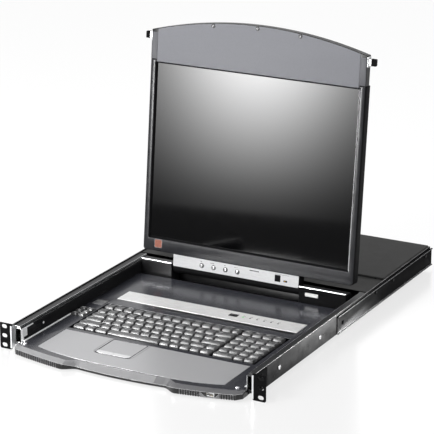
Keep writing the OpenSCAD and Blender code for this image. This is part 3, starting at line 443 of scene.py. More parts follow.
SCREW_R, SCREW_H = 3.6, 1.8
BRIGHT_FROM, BRIGHT_TO = 40, 290
bm = bmesh.new()
for lo, hi in islands("case_screws"):
    out = 1 if lo[0] > 0 else -1
    x = (hi[0] if out > 0 else lo[0]) - out * SCREW_H
    add_screw(bm, (x, (lo[1] + hi[1]) / 2, (lo[2] + hi[2]) / 2), (out, 0, 0), SCREW_R, SCREW_H,
              head=0 if BRIGHT_FROM < lo[1] < BRIGHT_TO else 2)
piece("case_screw_heads", bm, ["screw_steel", "mark_dark", "screw_black"], "chassis",
      CHASSIS, nodes=["case_screws"])

# Zinc brackets that hold the slides to the ears
BRACKET = [(217.9, -3.3), (220.2, -3.3), (220.6, -2.9), (220.6, -1.9), (218.25, -1.9),
           (218.25, 5.8), (217.9, 5.8)]
BRACKET_LOW, BRACKET_TOP = 3, 41
bm = bmesh.new()
for out in LEFT_RIGHT:
    add_loft(bm, [[(out * x, y, z) for x, y in BRACKET] for z in (BRACKET_LOW, BRACKET_TOP)])
piece("ear_brackets", bm, "zinc", "chassis", CHASSIS, bevel=0.12)

# The slide catches at the front of the inner members, and a bright bead along each side of the
# deck; their zinc is near-white, a painted reflection
CATCH_PLATE = [(6.6, 11.2), (70, 11.2), (70, 15.4), (22, 15.4), (22, 33), (40, 33), (40, 35),
               (6.6, 35)]
BEAD_X, BEAD_Z, BEAD_R, BEAD_STEPS = 201.3, 15, 1.5, 8
bead = [(BEAD_X + BEAD_R * math.cos(math.pi * k / BEAD_STEPS),
         BEAD_Z + BEAD_R * math.sin(math.pi * k / BEAD_STEPS)) for k in range(BEAD_STEPS + 1)]
bm = bmesh.new()
for out in LEFT_RIGHT:
    wall = on_side(out)
    add_loft(bm, [[wall(y, z, x) for y, z in CATCH_PLATE] for x in (205, 204.3)], mat=1)
    add_plate(bm, (24, 16.6), (78, 32.2), 1, [(0, 204.6), (0, 203.9), (0.4, 203.6)], wall)
    add_plate(bm, (34, 23), (60, 29), 1.8, [(0, 203.7), (0, 203), (0.5, 202.7)], wall)
    add_turned(bm, (out * 203.7, 69, 26), (-out, 0, 0), [(2.2, 0), (2.2, 0.4), (1.4, 0.7)],
               steps=16, mat=1)
    add_loft(bm, [[(out * x, y, z) for x, z in bead] for y in (8, 148)], mat=1)
piece("slide_catches", bm, ["black_plastic", "zinc_lit_white"], "drawer", CHASSIS)

# Small blind holes beside the screws, as rings round a dark disc that paints the shade inside each
# hole
WALL_X, RAIL_X = 221, 222.5
HOLES = ((WALL_X, 73, 18), (WALL_X, 66, 15.5), (WALL_X, 239, 24), (WALL_X, 246, 24),
         (RAIL_X, 297, 30), (RAIL_X, 302, 14))
bm = bmesh.new()
for out in LEFT_RIGHT:
    for x, y, z in HOLES:
        place, axis = (out * x, y, z), (out, 0, 0)
        add_turned(bm, place, axis, [(1.5, -0.2), (1.5, 0.1), (1.1, 0.16)], steps=16)
        add_turned(bm, place, axis, [(0.9, 0), (0.9, 0.2)], steps=16, mat=1)
piece("side_holes", bm, ["powder_black", "window"], "chassis", CHASSIS)

# Spring contacts in the computer sockets, and pins in the video socket
SOCKETS, SOCKET_LEFT, SOCKET_PITCH, SOCKET_MIDDLE = 8, -68.2, 16, 7.1
CONTACTS, CONTACT_PITCH, CONTACT_HALF, CONTACT_H = 8, 1.02, 0.2, 0.3
CONTACT_BEND = ((675.8, 18.4), (673, 18.2), (668, 16.4), (663.4, 15.6))
VIDEO_X, VIDEO_Z, PIN_Y, PIN_PITCH = -130, 14.45, 671.1, 2.6
bm = bmesh.new()
for i in range(SOCKETS):
    middle = SOCKET_LEFT + SOCKET_PITCH * i + SOCKET_MIDDLE
    for k in range(CONTACTS):
        x = middle + (k - (CONTACTS - 1) / 2) * CONTACT_PITCH
        a, b = x - CONTACT_HALF, x + CONTACT_HALF
        add_loft(bm, [[(a, y, z), (b, y, z), (b, y, z - CONTACT_H), (a, y, z - CONTACT_H)]
                      for y, z in CONTACT_BEND])
for row, z in enumerate((12.4, 14.4, 16.4)):
    for k in range(5):
        x = VIDEO_X + (k - 2) * PIN_PITCH + (row % 2) * PIN_PITCH / 2
        add_turned(bm, (x, PIN_Y, z), BACK, [(0.5, 0), (0.5, 3), (0.3, 3.6)], steps=10)
piece("socket_contacts", bm, "gold", "chassis", CHASSIS)

SHELL_ROOT, SHELL_END, NUT_SIDE = 677.2, 678.6, 12.5
bm = bmesh.new()
inner = rounded_loop((-9.2, 9.75), (9.2, 19.15), (2,) * 4)
outer = rounded_loop((-10, 9.2), (10, 19.7), (2.6,) * 4)
shell = ((inner, SHELL_ROOT), (inner, SHELL_END), (outer, SHELL_END), (outer, SHELL_ROOT))
add_loft(bm, [[(x + VIDEO_X, y, z) for x, z in loop] for loop, y in shell], closed=True)
for x in (VIDEO_X - NUT_SIDE, VIDEO_X + NUT_SIDE):
    add_turned(bm, (x, 677.1, VIDEO_Z), BACK, [(2.4, 0), (2.4, 2.4), (1.2, 2.4), (1.2, 0.4)],
               steps=6)
piece("video_socket_shell", bm, "zinc", "chassis", CHASSIS)

# The rocker and its two marks
skin("power_rocker", "black_plastic", 0.4)
ROCKER_AXIS, ROCKER_LEAN_DEG = (132, 672, 20), 6
ROCKER = (CHASSIS @ Matrix.Translation(ROCKER_AXIS)
          @ Matrix.Rotation(math.radians(-ROCKER_LEAN_DEG), 4, "X"))
bm = bmesh.new()
add_box(bm, (-0.5, 6.2, 4), (0.5, 6.62, 7.4))
add_ring(bm, 0, -5.6, ((1.2, 6.1), (1.2, 6.6), (1.8, 6.66), (1.8, 6.1)), steps=24)
piece("rocker_marks", bm, "legend", "rocker", ROCKER)


# ---------- tray, lip and deck

skin("tray", "tray_black", 0.35)

# The lip is black in front and grey on top, with painted light: paler at the left and darker at the
# right as light falls from the left, pale painted highlights on its grip grooves, and a painted
# highlight line along its top front edge
LIP_BLACK, LIP_GREY, LIP_LIT, LIP_SHADED, LIP_EDGE_HIGHLIGHT = range(5)
GROOVE_FROM, GROOVE_TO, GROOVE_STEP, GROOVE_HALF, GROOVE_TOP = 112, 198, 4, 0.9, 11.2
GROOVE_SPARE = 2
LIT_TO, GREY_TO = -100, 60
TOP_RISE, UNDER_RISE = 0.35, -0.5
EDGE_LOW, EDGE_HIGH, EDGE_TIP = 0.15, 0.93, -0.2
lip = skin("front_lip", ["lip_black", "lip_grey", "lip_lit_grey", "lip_shaded_grey", "highlight_grey"], 0.35, 3,
           edge=LIP_EDGE_HIGHLIGHT)
for face in lip.data.polygons:
    x, _, z = CHASSIS.inverted() @ face.center
    _, tip, rise = face.normal
    near = (abs(x) - GROOVE_FROM + GROOVE_STEP / 2) % GROOVE_STEP - GROOVE_STEP / 2
    grooved = (GROOVE_FROM - GROOVE_SPARE < abs(x) < GROOVE_TO + GROOVE_SPARE
               and abs(near) < GROOVE_HALF and z < GROOVE_TOP)
    # Bevel faces along the top front edge that look up and forward keep the pale grey: a painted
    # highlight line
    if face.material_index == LIP_EDGE_HIGHLIGHT and EDGE_LOW < rise < EDGE_HIGH and tip < EDGE_TIP:
        continue
    # Grooved front faces get the lit grey as painted highlights on the grip ridges; the top's greys
    # paint light falling from the left
    if rise < TOP_RISE:
        face.material_index = LIP_LIT if grooved and rise > UNDER_RISE else LIP_BLACK
    else:
        face.material_index = LIP_LIT if x < LIT_TO else LIP_GREY if x < GREY_TO else LIP_SHADED

skin("deck", "deck_plastic", 0.45, 3)
skin("palm_rest", "palm_grey", 0.3)
skin("touchpad", "pad_grey", 0.3)
skin("status_strip", "strip_silver", 0.3)
skin("usb_socket", "zinc", 0.15)
skin("left_hinge_block", "black_plastic", 0.9, 3)
skin("right_hinge_block", "shell_black", 0.7, 3)
skin("hinge_trims", "trim_chrome", 1.1, 3)
skin("block_button", "button_white", 0.6, 3)

POST_X, POST_Y, DECK_Z = 193, -2, 15
bm = bmesh.new()
for out in LEFT_RIGHT:
    add_screw(bm, (out * POST_X, POST_Y, DECK_Z), UP, 3.2, 2.6)
piece("tray_post_heads", bm, ["shaft_steel", "mark_dark"], "drawer", CHASSIS,
      nodes=["tray_posts"])

# The tongue of the front socket
USB_PINS, USB_PIN_PITCH = 4, 2.2
bm = bmesh.new()
add_box(bm, (154.6, -29.2, 8.6), (165.4, -18, 10.1))
for k in range(USB_PINS):
    x = USB_PIN_PITCH * k
    add_box(bm, (156 + x, -28.9, 8.5), (157.2 + x, -20, 8.62), mat=1)
piece("usb_tongue", bm, ["legend", "gold"], "drawer", CHASSIS, bevel=0.08)

# A dark rim round the touchpad and its buttons
RIM = [(0, 14.3), (0, 15.45), (0.3, 15.6), (0.85, 15.6), (1.1, 15.3), (1.1, 14.3)]
bm = bmesh.new()
outer = rounded_loop((-77.9, 19.6), (-13.1, 82.9), (9, 9, 2, 2), steps=8)
add_loft(bm, drawn_in(outer, (-45.5, 51), (32, 32), RIM), closed=True)
piece("touchpad_rim", bm, "deck_plastic", "drawer", CHASSIS)

# A wider frame pressed into the palm rest round them
PAD_FRAME = [(0, 14.6), (0, 15.42), (0.4, 15.55), (1.3, 15.55), (1.7, 15.42), (1.7, 14.6)]
bm = bmesh.new()
outer = rounded_loop((-82, 16.6), (-8.6, 83.8), (13, 13, 2.4, 2.4), steps=10)
add_loft(bm, drawn_in(outer, (-45.3, 50.2), (36.7, 33.6), PAD_FRAME), closed=True)
piece("touchpad_frame", bm, "pad_rim", "drawer", CHASSIS)

# A dark strip between the keys and the status strip: a painted shadow along the strip's front edge
bm = bmesh.new()
add_plate(bm, (-92, 237.4), (168, 245.2), 1.6, [(0, 14.8), (0, 15.1), (0.25, 15.2)], on_top)
piece("strip_painted_shadow", bm, "black_plastic", "drawer", CHASSIS)

# The touchpad buttons, whose front edges make one bow
PAD_X, PAD_HALF, BUTTON_BOW, BUTTON_STEPS, BUTTON_PLAY = -45.5, 31.2, 3.4, 12, 0.1
BUTTON_REACH = (15, 6)
BUTTON_RIMS = [(0, 11.6), (0, 15.1), (0.25, 15.5), (0.9, 15.75), (2.2, 15.7)]
for side in ("left", "right"):
    lo, hi = [CHASSIS.inverted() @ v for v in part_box("touch_button_" + side)]
    outline = []
    for k in range(BUTTON_STEPS + 1):
        x = lo.x + (hi.x - lo.x) * k / BUTTON_STEPS
        outline.append((x, lo.y + BUTTON_BOW * ((x - PAD_X) / PAD_HALF) ** 4 + BUTTON_PLAY))
    outline += [(hi.x, hi.y), (lo.x, hi.y)]
    cx, cy = (lo.x + hi.x) / 2, (lo.y + hi.y) / 2
    bm = bmesh.new()
    add_loft(bm, drawn_in(outline, (cx, cy), BUTTON_REACH, BUTTON_RIMS))
    add_turned(bm, (cx, cy, 0), UP, [(2, 5.7), (2, 11.6)])
    piece(f"touch_button_{side}_cap", bm, "button_silver", "touch_" + side,
          CHASSIS, nodes=["touch_button_" + side])

# The lamp plate at the left of the keyboard
PLATE_LAMPS, PLATE_LAMP_PITCH = 3, 6.6
bm = bmesh.new()
add_plate(bm, (-197, 207), (-175, 229), 1.6, [(0, 15), (0, 15.5), (0.4, 15.8)], on_top)
for k in range(PLATE_LAMPS):
    x = PLATE_LAMP_PITCH * k
    add_plate(bm, (-195 + x, 220), (-190.4 + x, 222.4), 0.6, [(0, 15.7), (0, 15.95)], on_top, mat=1)
piece("lamp_plate", bm, ["plate_dark", "clear_lamp"], "drawer", CHASSIS)

# The window, lamps and small push marks on the status strip
STATUS_LAMPS, STATUS_PITCH, STATUS_X, STATUS_Z = 6, 13, 60, 15.5
bm = bmesh.new()
add_plate(bm, (34, 263), (50, 275), 0.8, [(0, STATUS_Z), (0, 15.75), (0.3, 15.85)], on_top)
for k in range(STATUS_LAMPS):
    x = STATUS_X + STATUS_PITCH * k
    add_turned(bm, (x, 268, STATUS_Z), UP, [(1.7, 0), (1.7, 0.3), (1.3, 0.45)], steps=16,
               mat=1 if k else 2)
    add_box(bm, (x - 2.4, 273, STATUS_Z), (x + 2.4, 273.9, 15.63), mat=1)
piece("status_window", bm, ["window", "mark_dark", "green_lamp"], "drawer", CHASSIS)

# Its two digits, unlit: each bar has its place across and along, and whether it lies flat
DIGIT_BARS = [(0, 1, True), (1, 0.5, False), (1, -0.5, False), (0, -1, True), (-1, -0.5, False),
              (-1, 0.5, False), (0, 0, True)]
DIGIT_HALF_W, DIGIT_HALF_H, DIGIT_Y = 1.5, 2.6, 269
bm = bmesh.new()
for cx in (39.2, 44.8):
    for across, along, flat in DIGIT_BARS:
        x, y = cx + across * DIGIT_HALF_W, DIGIT_Y + along * DIGIT_HALF_H
        w, d = (1.1, 0.28) if flat else (0.28, 1.0)
        add_box(bm, (x - w, y - d, 15.8), (x + w, y + d, 15.9))
piece("status_digits", bm, "mark_dark", "drawer", CHASSIS)


# ---------- keys

MAIN = {
    "function_keys": ["Esc", "F1", "F2", "F3", "F4", "F5", "F6", "F7", "F8", "F9", "F10", "F11",
                      "F12", ""],
    "number_keys": ["`", "1", "2", "3", "4", "5", "6", "7", "8", "9", "0", "-", ""],
    "upper_keys": ["", "Q", "W", "E", "R", "T", "Y", "U", "I", "O", "P", "[", ""],
    "home_keys": ["", "A", "S", "D", "F", "G", "H", "J", "K", "L", ";", ""],
    "lower_keys": ["", "Z", "X", "C", "V", "B", "N", "M", ",", ".", "", "^"],
    "space_keys": ["Ctrl", "", "Alt", "", "Alt", "", "<", "v", ">"],
    "side_keys": [""] * 6,
}
PAD = {
    "function_keys": ["", "", "", ""],
    "number_keys": ["", "/", "*", "-"],
    "upper_keys": ["7", "8", "9", "+"],
    "home_keys": ["4", "5", "6", ""],
    "lower_keys": ["1", "2", "3", ""],
    "space_keys": ["0", ".", ""],
    "side_keys": [],
}
glyphs = {}


def glyph(text, size):
    """The flat mesh of a word of key lettering, as faces of points."""
    if (text, size) not in glyphs:
        curve = bpy.data.curves.new("glyph", "FONT")
        curve.body = text
        curve.size = size
        curve.resolution_u = 3
        curve.align_x = "LEFT"
        obj = bpy.data.objects.new("glyph", curve)
        bpy.context.scene.collection.objects.link(obj)
        depsgraph = bpy.context.evaluated_depsgraph_get()
        mesh = bpy.data.meshes.new_from_object(obj.evaluated_get(depsgraph))
        glyphs[text, size] = [[tuple(mesh.vertices[i].co[:2]) for i in p.vertices]
                              for p in mesh.polygons]
        bpy.data.meshes.remove(mesh)
        bpy.data.objects.remove(obj)
        bpy.data.curves.remove(curve)
    return glyphs[text, size]


# How far in a cap's front, back and sides are, at a height and with a corner radius
KEY_TOP, KEY_SKIRT, DISH, FALL = 18.55, 15.3, 0.3, 1.5
CAP = [(0, 0, 0, 12, 0.8), (0, 0, 0, 14.9, 0.8), (0.1, 0.5, 0.3, KEY_SKIRT, 0.9),
       (1.6, 1.9, 0.8, 17.9, 1.0), (1.85, 2.2, 1, 18.3, 1.2), (2.1, 2.7, 1.4, KEY_TOP, 1.4),
       (3.3, 3.9, 3, KEY_TOP - DISH, 1.6)]
STEM_R, STEM_TOP = 2, 12.4
SMALL_KEY = 0.6
LETTER, WORD, CAPITAL = 5.4, 3.6, 0.72  # sizes of lettering, and a capital's share of them
BAR_LONG, BAR_SPARE, BAR_SHORT, BAR_STEP, WIDE_KEY = 6, 0.5, 0.7, 1.8, 40
INK_LEFT, INK_H, SAME_INK = 0.1, 0.06, 0.001


def cap_z(y, z, lo, hi):
    """A cap's height, which falls a little towards its back."""
    return z - FALL * max(0, z - KEY_SKIRT) / (KEY_TOP - KEY_SKIRT) * (y - lo[1]) / (hi[1] - lo[1])


for node in MAIN:
    caps, marks = bmesh.new(), bmesh.new()
    scale, bar = (SMALL_KEY, 1.3) if node == "side_keys" else (1, 0.9)
    for (lo, hi), text in zip(islands(node), MAIN[node] + PAD[node]):
        middle = ((lo[0] + hi[0]) / 2, (lo[1] + hi[1]) / 2, 0)
        add_turned(caps, middle, UP, [(STEM_R, lo[2]), (STEM_R, STEM_TOP)], steps=12)
        loops = []
        for front, back, side, z, r in CAP:
            outline = rounded_loop((lo[0] + side * scale, lo[1] + front * scale),
                                   (hi[0] - side * scale, hi[1] - back * scale),
                                   (r * scale,) * 4, steps=3)
            loops.append([(x, y, cap_z(y, z, lo, hi)) for x, y in outline])
        add_loft(caps, loops)
        # A word, or two bars on a key whose word is left open, near the back left of the dish
        front, back, side, z, r = CAP[-1]
        wide = hi[0] - lo[0] - 2 * side * scale
        long = min(wide - BAR_SPARE, BAR_LONG)
        bars = [[(0, low), (length, low), (length, low + bar), (0, low + bar)]
                for low, length in ((0, long), (BAR_STEP, long * BAR_SHORT))]
        size = LETTER if len(text) == 1 else WORD
        left = lo[0] + side * scale + INK_LEFT
        base = hi[1] - back * scale - CAPITAL * size
        for face in glyph(text, size) if text else bars if wide < WIDE_KEY else []:
            ink = [(left + x, base + y, cap_z(base + y, z, lo, hi) + INK_H) for x, y in face]
            marks.faces.new([marks.verts.new(p) for p in ink])
    bmesh.ops.remove_doubles(marks, verts=marks.verts, dist=SAME_INK)
    piece(node + "_caps", caps, "key_plastic", BODY[node], CHASSIS, angle=40,
          nodes=[node])
    piece(node + "_lettering", marks, "legend", BODY[node], CHASSIS)


# ---------- screen

skin("hinge_tongue", "shell_black", 0.6, 3)
skin("arc_plate", "black_plastic", 1.0, 3)
skin("osd_strip", "osd_silver", 0.25)

# Half width, lower and upper edge of the case and of the picture
CASE = 202.5, 25, 362
VIEW = 190, 50.5, 355.5
CORNER, UPPER_CORNER = 5, 0.3
FACE = -9  # depth of the frame's front face


def screen_loop(edges, out, depth, corner):
    """A loop round the case or the picture, pushed outwards by a distance."""
    half, low, high = edges
    radii = (corner, corner, UPPER_CORNER, UPPER_CORNER)
    outline = rounded_loop((-half - out, low - out), (half + out, high + out), radii, steps=6)
    return [(x, depth, z) for x, z in outline]


# The frame, from its foot at the picture out over a chamfer and the front to the side
INSIDE = [(0, -5, 0.4), (0, -5.4, 0.4), (3.2, -8.5, 0.6), (3.7, -8.9, 0.8), (4.6, FACE, 1)]
OUTSIDE = [(-1.6, FACE), (-0.5, -8.7), (0, -7.8), (0, -5.2), (-0.7, -5)]
BARE, LIT_CHAMFER, BLACK_AND_SHADE, LINE_HIGHLIGHT = range(4)
CHAMFER_RING, LINE_RINGS, SIDE_RING = 1, (2, 3), 6
CHAMFER_LEAN, LINE_LEAN = 0.4, 0.05
loops = ([screen_loop(VIEW, *row) for row in INSIDE]
         + [screen_loop(CASE, out, depth, CORNER + out) for out, depth in OUTSIDE])
bm = bmesh.new()
add_loft(bm, loops, closed=True)
bezel = piece("lcd_bezel_frame", bm, ["bezel_grey", "highlight_grey", "shell_black", "line_highlight_grey"],
              "screen", SCREEN, angle=50, nodes=["lcd_bezel"])
count = len(bezel.data.polygons) // len(loops)
# The chamfer's right side, facing the lamps, is pale as a painted highlight; its left and lower
# sides are black as painted shade. Faces along the lower border make a lighter line, a painted
# highlight. The case's sides are black.
for i, face in enumerate(bezel.data.polygons):
    ring, look = i // count, BARE
    if ring == CHAMFER_RING and abs(face.normal.x) > CHAMFER_LEAN:
        look = LIT_CHAMFER if face.normal.x < 0 else BLACK_AND_SHADE
    elif ring == CHAMFER_RING and face.normal.z > CHAMFER_LEAN or ring >= SIDE_RING:
        look = BLACK_AND_SHADE
    elif ring in LINE_RINGS and face.normal.z > LINE_LEAN:
        look = LINE_HIGHLIGHT
    face.material_index = look

# The back: its lip behind the frame, its rounded rim, and a groove round the flat
SHELL = [(-2, -5, CORNER - 2), (-0.8, -5, CORNER - 0.8), (-0.8, -4.4, CORNER - 0.8),
         (0, -4.2, CORNER), (0, 9, CORNER), (-0.6, 11.2, CORNER), (-2.2, 12.6, CORNER),
         (-4.4, 13, CORNER), (-24, 13, CORNER), (-24.8, 12.5, CORNER), (-26, 12.5, CORNER),
         (-26.8, 13, CORNER)]
bm = bmesh.new()
add_loft(bm, [screen_loop(CASE, *row) for row in SHELL], cap_start=False)
piece("lcd_back_shell", bm, "shell_black", "screen", SCREEN, angle=50,
      nodes=["lcd_back"])

# The face of the bowed plate, and the strips at its ends
ARC_TOP, ARC_BOW = 440.5, 1490  # height at the middle, and twice the bow's radius
ARC_HALF, ARC_STEPS, ARC_EDGE, ARC_LOW = 190.2, 24, 1.5, 358.4
ARC_RIMS = ((0, -8.9), (0, -9.35), (0.3, -9.55), (0.9, -9.65))


def arc_edge(x):
    """The bowed plate's upper edge."""
    return ARC_TOP - x * x / ARC_BOW


xs = [ARC_HALF * (k / ARC_STEPS - 1) for k in range(2 * ARC_STEPS + 1)]
loops = []
for inset, depth in ARC_RIMS:
    share = 1 - inset / VIEW[0]
    loops.append([(x * share, depth, arc_edge(x) - ARC_EDGE - inset) for x in xs]
                 + [(x * share, depth, ARC_LOW + inset) for x in (xs[-1], xs[0])])
bm = bmesh.new()
add_loft(bm, loops)
piece("arc_face", bm, "arc_grey", "screen", SCREEN, angle=40)
bm = bmesh.new()
for out in LEFT_RIGHT:
    add_plate(bm, (190.4, 362.6), (202, 409), 0.8, [(0, -8.8), (0, -9.35), (0.35, -9.6)],
              lambda x, z, level: (out * x, level, z))
piece("screen_side_strips", bm, "strip_grey", "screen", SCREEN)

BUMPER_Y = -9.3
bm = bmesh.new()
for x, h in ((-84, 431), (0, 435.5), (80, 431.4)):
    place = (x, BUMPER_Y, h)
    add_turned(bm, place, FRONT, [(3.6, 0), (3.6, 0.6), (3.0, 0.9)], mat=1)
    add_turned(bm, place, FRONT, [(1.9, 0.3), (1.85, 1.2), (1.3, 1.6), (0.5, 1.7)], steps=20)
piece("arc_bumpers", bm, ["dome_grey", "rubber"], "screen", SCREEN)

# The side catches: a bright tongue with a ribbed dark knob
CATCH_H, CATCH_EDGE, CATCH_FRONT, CATCH_BACK = 12, 5, -6, 3
CATCH_LOW = arc_edge(CASE[0]) - CATCH_EDGE - CATCH_H
TONGUE = [(0.2, 193), (0.2, 208.4)]
KNOB = [(0.3, 207.8), (0, 208.2)]
for x in (209, 211.1, 213.2):
    KNOB += [(0, x), (0.5, x + 0.4), (0.5, x + 0.9), (0, x + 1.3)]
KNOB += [(0, 215.4), (0.7, 216)]
for out, side in zip(LEFT_RIGHT, ("left", "right")):
    node, wall = side + "_catch", on_side(out)
    lo, hi = (CATCH_FRONT, CATCH_LOW), (CATCH_BACK, CATCH_LOW + CATCH_H)
    bm = bmesh.new()
    add_plate(bm, lo, hi, 1, TONGUE, wall)
    add_plate(bm, lo, hi, 1.6, KNOB, wall, mat=1)
    add_turned(bm, wall((lo[0] + hi[0]) / 2, CATCH_LOW + CATCH_H / 2, 204.2), (out, 0, 0),
               [(2.2, 0), (2.2, 0.3), (1.4, 0.6)], steps=20, mat=2)
    piece(node + "_knob", bm, ["catch_zinc", "shell_black", "shaft_steel"], BODY[node],
          SCREEN, nodes=[node])

# Zinc guides on the sides of the bowed plate, round the catches
GUIDE_IN, GUIDE_OUT, GUIDE_RIM = 202.3, 203.4, 2.2
guide = [rounded_loop((-8 + o, 393.6 + o), (5 - o, 411 - o), (1,) * 4) for o in (0, GUIDE_RIM)]
bm = bmesh.new()
for out in LEFT_RIGHT:
    rims = ((0, GUIDE_IN), (0, GUIDE_OUT), (1, GUIDE_OUT), (1, GUIDE_IN))
    add_loft(bm, [[(out * x, d, z) for d, z in guide[g]] for g, x in rims], closed=True)
piece("catch_guides", bm, "catch_zinc", "screen", SCREEN)

# A plain badge at the lower left corner
bm = bmesh.new()
for inset, depth, mat in ((0, -9.12, 1), (1.1, -9.2, 0)):
    add_plate(bm, (-180, 31.5), (-165, 46.5), 1.2, [(inset, -8.9), (inset, depth)], on_front, mat)
piece("corner_badge", bm, ["badge", "badge_edge"], "screen", SCREEN)

# The buttons of the screen, each a dome in a dark ring, with small marks above them
OSD_BUTTONS, OSD_LEFT, OSD_PITCH, OSD_Z = 4, -84, 23.2, 13.7
DOME = [(3.5, 1), (3.5, 6.6), (3.2, 7.0), (2.6, 7.25), (1.6, 7.38), (0.6, 7.4)]
DOME_ROOT, DOME_STEPS = -4, 32
OSD_RING = ((3.85, -9.8), (3.85, -10.2), (4.5, -10.2), (4.6, -9.9))
MARK_FRONT, MARK_BACK, MARK_STEP = -10.1, -9.95, 4
osd_x = [OSD_LEFT + OSD_PITCH * i for i in range(OSD_BUTTONS)]
for i, x in enumerate(osd_x):
    node = f"osd_button_{i + 1}"
    bm = bmesh.new()
    add_turned(bm, (x, DOME_ROOT, OSD_Z), FRONT, DOME, steps=DOME_STEPS)
    piece(node + "_dome", bm, "dome_grey", BODY[node], SCREEN, nodes=[node])
bm = bmesh.new()
for i, x in enumerate(osd_x):
    add_ring(bm, x, OSD_Z, OSD_RING, steps=DOME_STEPS)
    for k in range(1 + i % 2):
        left = x - MARK_STEP * k
        add_box(bm, (left - 2.6, MARK_FRONT, 20.4), (left + 0.6, MARK_BACK, 21.2))
add_box(bm, (9, MARK_FRONT, 19.8), (27, MARK_BACK, 21.6))
add_box(bm, (58, MARK_FRONT, 22.4), (84, MARK_BACK, 22.9))
piece("osd_rings", bm, "mark_dark", "screen", SCREEN)

bm = bmesh.new()
add_plate(bm, (12.2, 10.7), (21.8, 16.1), 2.6,
          [(0, -9.95), (0, -10.35), (0.35, -10.6), (1.2, -10.7)], on_front, narrow=1)
piece("osd_oval", bm, "osd_silver", "screen", SCREEN)

WINDOW_RIMS = [(0, -9.95), (0, -10.2), (0.25, -10.35)]
bm = bmesh.new()
add_plate(bm, (57.6, 9.4), (68.4, 21.2), 0.7, WINDOW_RIMS, on_front)
add_plate(bm, (74.4, 10.6), (81.4, 13.8), 0.6, WINDOW_RIMS, on_front)
add_turned(bm, (77, -10, 12.2), FRONT, [(1, 0.2), (1, 0.5), (0.5, 0.75)], steps=16, mat=1)
piece("osd_windows", bm, ["shell_black", "amber_lamp"], "screen", SCREEN)

# Screws on the back of the case
BACK_SCREW_X, BACK_FACE = 186, 13
bm = bmesh.new()
for out in LEFT_RIGHT:
    for h in (42, 194, 346):
        add_screw(bm, (out * BACK_SCREW_X, BACK_FACE, h), BACK, 2.6, 0.9)
piece("lcd_back_screws", bm, ["shaft_steel", "mark_dark"], "screen", SCREEN)


# ---------- CAD nodes that stay as they are

CAD_LOOKS = {
    "lcd_panel": "screen",
    "hinge_shafts": "shaft_steel",
    # The keyboard plate is black, which also paints shade into the gaps between the keys
    "keyboard_plate": "black_plastic",
    "switch_board": "board",
    "tray_board": "board",
    "lcd_board": "board",
    "power_supply": "box_alloy",
}
for node, mat in CAD_LOOKS.items():
    NODES[node].data.materials.clear()
    NODES[node].data.materials.append(MAT[mat])


# ---------- floor and world, in metres

FLOOR_REACH, FLOOR_DROP = 14, 0.0002
FLOOR_PAINT, FLOOR_GLOW, FLOOR_SHINE, FLOOR_ROUGH = 0.2, 0.9, 0.2, 0.2
WORLD_LIGHT, WORLD_SEEN = 0.45, 1.0
WHITE = (1, 1, 1, 1)

scene = bpy.context.scene
scene.view_settings.view_transform = "Standard"

mesh = bpy.data.meshes.new("floor")
corners = ((-1, -1), (1, -1), (1, 1), (-1, 1))
mesh.from_pydata([(FLOOR_REACH * x, FLOOR_REACH * y, 0) for x, y in corners], [], [(0, 1, 2, 3)])
floor = bpy.data.objects.new("floor", mesh)
floor.location.z = -FLOOR_DROP
scene.collection.objects.link(floor)


def direct_view(tree):
    """1 for what the camera, gloss and glass see, and 0 for light that the floor throws back."""
    path = tree.nodes.new("ShaderNodeLightPath")
    top = path.outputs["Is Camera Ray"]
    for name in ("Is Glossy Ray", "Is Transmission Ray"):
        top = sum_node(tree, "MAXIMUM", top, path.outputs[name])
    return top


mat = bpy.data.materials.new("floor_white")
mat.use_nodes = True
tree = mat.node_tree
add, link = tree.nodes.new, tree.links.new
tree.nodes.clear()
paint = add("ShaderNodeBsdfDiffuse")
socket(paint, "Color", (FLOOR_PAINT, FLOOR_PAINT, FLOOR_PAINT, 1))
glow = add("ShaderNodeEmission")
socket(glow, "Color", WHITE)
link(sum_node(tree, "MULTIPLY", direct_view(tree), FLOOR_GLOW), glow.inputs["Strength"])
both = add("ShaderNodeAddShader")
link(paint.outputs[0], both.inputs[0])
link(glow.outputs[0], both.inputs[1])
shine = add("ShaderNodeBsdfGlossy")
socket(shine, "Roughness", FLOOR_ROUGH)
mix = add("ShaderNodeMixShader")
camera_ray = add("ShaderNodeLightPath").outputs["Is Camera Ray"]
link(sum_node(tree, "MULTIPLY", camera_ray, FLOOR_SHINE), mix.inputs["Fac"])
link(both.outputs[0], mix.inputs[1])
link(shine.outputs[0], mix.inputs[2])
link(mix.outputs[0], add("ShaderNodeOutputMaterial").inputs["Surface"])
floor.data.materials.append(mat)

world = bpy.data.worlds.new("studio")
scene.world = world
world.use_nodes = True
tree = world.node_tree
background = tree.nodes["Background"]
socket(background, "Color", WHITE)
lift = tree.nodes.new("ShaderNodeMapRange")
socket(lift, "To Min", WORLD_LIGHT)
socket(lift, "To Max", WORLD_SEEN)
tree.links.new(direct_view(tree), lift.inputs["Value"])
tree.links.new(lift.outputs["Result"], background.inputs["Strength"])


# ---------- light, in metres apart from the cards' places

def softbox(name, place, target, size, watts):
    """A soft lamp, by its place and the point that it faces."""
    light = bpy.data.lights.new(name, "AREA")
    light.shape = "RECTANGLE"
    light.size, light.size_y = size
    light.energy = watts
    obj = bpy.data.objects.new(name, light)
    scene.collection.objects.link(obj)
    obj.location = place
    obj.rotation_euler = (Vector(target) - Vector(place)).to_track_quat("-Z", "Y").to_euler()
    obj.visible_camera = False
    return obj


def card(name, place, target, size, watts):
    """A softbox that only glossy faces mirror, placed in millimetres. It lights nothing else."""
    obj = softbox(name, CHASSIS @ Vector(place), CHASSIS @ Vector(target), size, watts)
    obj.visible_diffuse = False
    return obj


softbox("left_high", (-0.95, -0.3, 1.5), (0, -0.05, 0), (1.1, 1.1), 13)
softbox("front_left", (-1.05, -1.95, 1.25), (0, 0, 0.1), (0.8, 0.6), 38)
softbox("right_fill", (2.1, -0.7, 1.0), (0, 0, 0.1), (1.0, 1.0), 16)

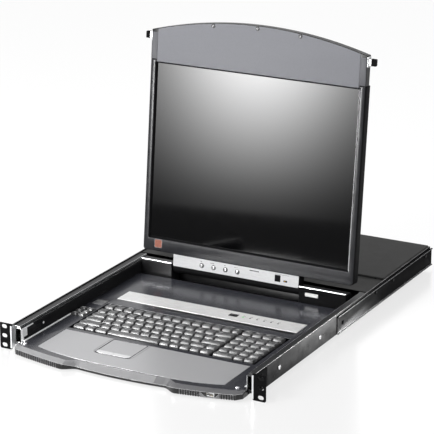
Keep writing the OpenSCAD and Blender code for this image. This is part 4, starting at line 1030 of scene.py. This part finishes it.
# A low card for the screen, brightest along the middle of its upper edge
SIDE_SHARE, RISE_POWER, RISE_GAIN, RISE_BASE = 0.135, 1.58, 0.9, 0.035
glow = card("screen_glow", (-511, -600, 172), (0, 405, 172), (0.556, 0.34), 132)
glow.data.use_nodes = True
tree = glow.data.node_tree
split = tree.nodes.new("ShaderNodeSeparateXYZ")
tree.links.new(tree.nodes.new("ShaderNodeNewGeometry").outputs["Parametric"], split.inputs[0])
from_middle = sum_node(tree, "MULTIPLY_ADD", split.outputs["X"], 2, -1)
sides = sum_node(tree, "POWER", SIDE_SHARE, sum_node(tree, "POWER", from_middle, 2))
rise = sum_node(tree, "MULTIPLY_ADD", sum_node(tree, "POWER", split.outputs["Y"], RISE_POWER),
                RISE_GAIN, RISE_BASE)
tree.links.new(sum_node(tree, "MULTIPLY", sides, rise), tree.nodes["Emission"].inputs["Strength"])

# A small card beside the right wall, for the sheen of that wall and its rail alone
glow = card("side_glow", (372, 395, 21), (222, 395, 21), (0.16, 0.03), 44)
faced = bpy.data.collections.new("side_glow_faces")
for name in ("right_side_plate_skin", "right_outer_rail_skin"):
    faced.objects.link(bpy.data.objects[name])
glow.light_linking.receiver_collection = faced


# ---------- camera, fitted to the ears' holes and the screen's corners in the photograph

AZIMUTH, ELEVATION, DISTANCE = math.radians(28.19), math.radians(18.32), 3534.76
TARGET = Vector((28.37, 276.12, 179.25))
SENSOR, LENS, SHIFT_X, SHIFT_Y = 36, 178.45, -0.0267, 0.0051
SIGHT = 60
away = Vector((math.sin(AZIMUTH) * math.cos(ELEVATION), -math.cos(AZIMUTH) * math.cos(ELEVATION),
               math.sin(ELEVATION)))
across = Vector((math.cos(AZIMUTH), math.sin(AZIMUTH), 0))
view = Matrix((across, away.cross(across), away)).transposed().to_4x4()
camera_data = bpy.data.cameras.new("camera")
camera_data.sensor_width = SENSOR
camera_data.lens = LENS
camera_data.shift_x, camera_data.shift_y = SHIFT_X, SHIFT_Y
camera_data.clip_end = SIGHT
camera = bpy.data.objects.new("camera", camera_data)
scene.collection.objects.link(camera)
camera.matrix_world = Matrix.Translation(CHASSIS @ (TARGET + away * DISTANCE)) @ view
scene.camera = camera
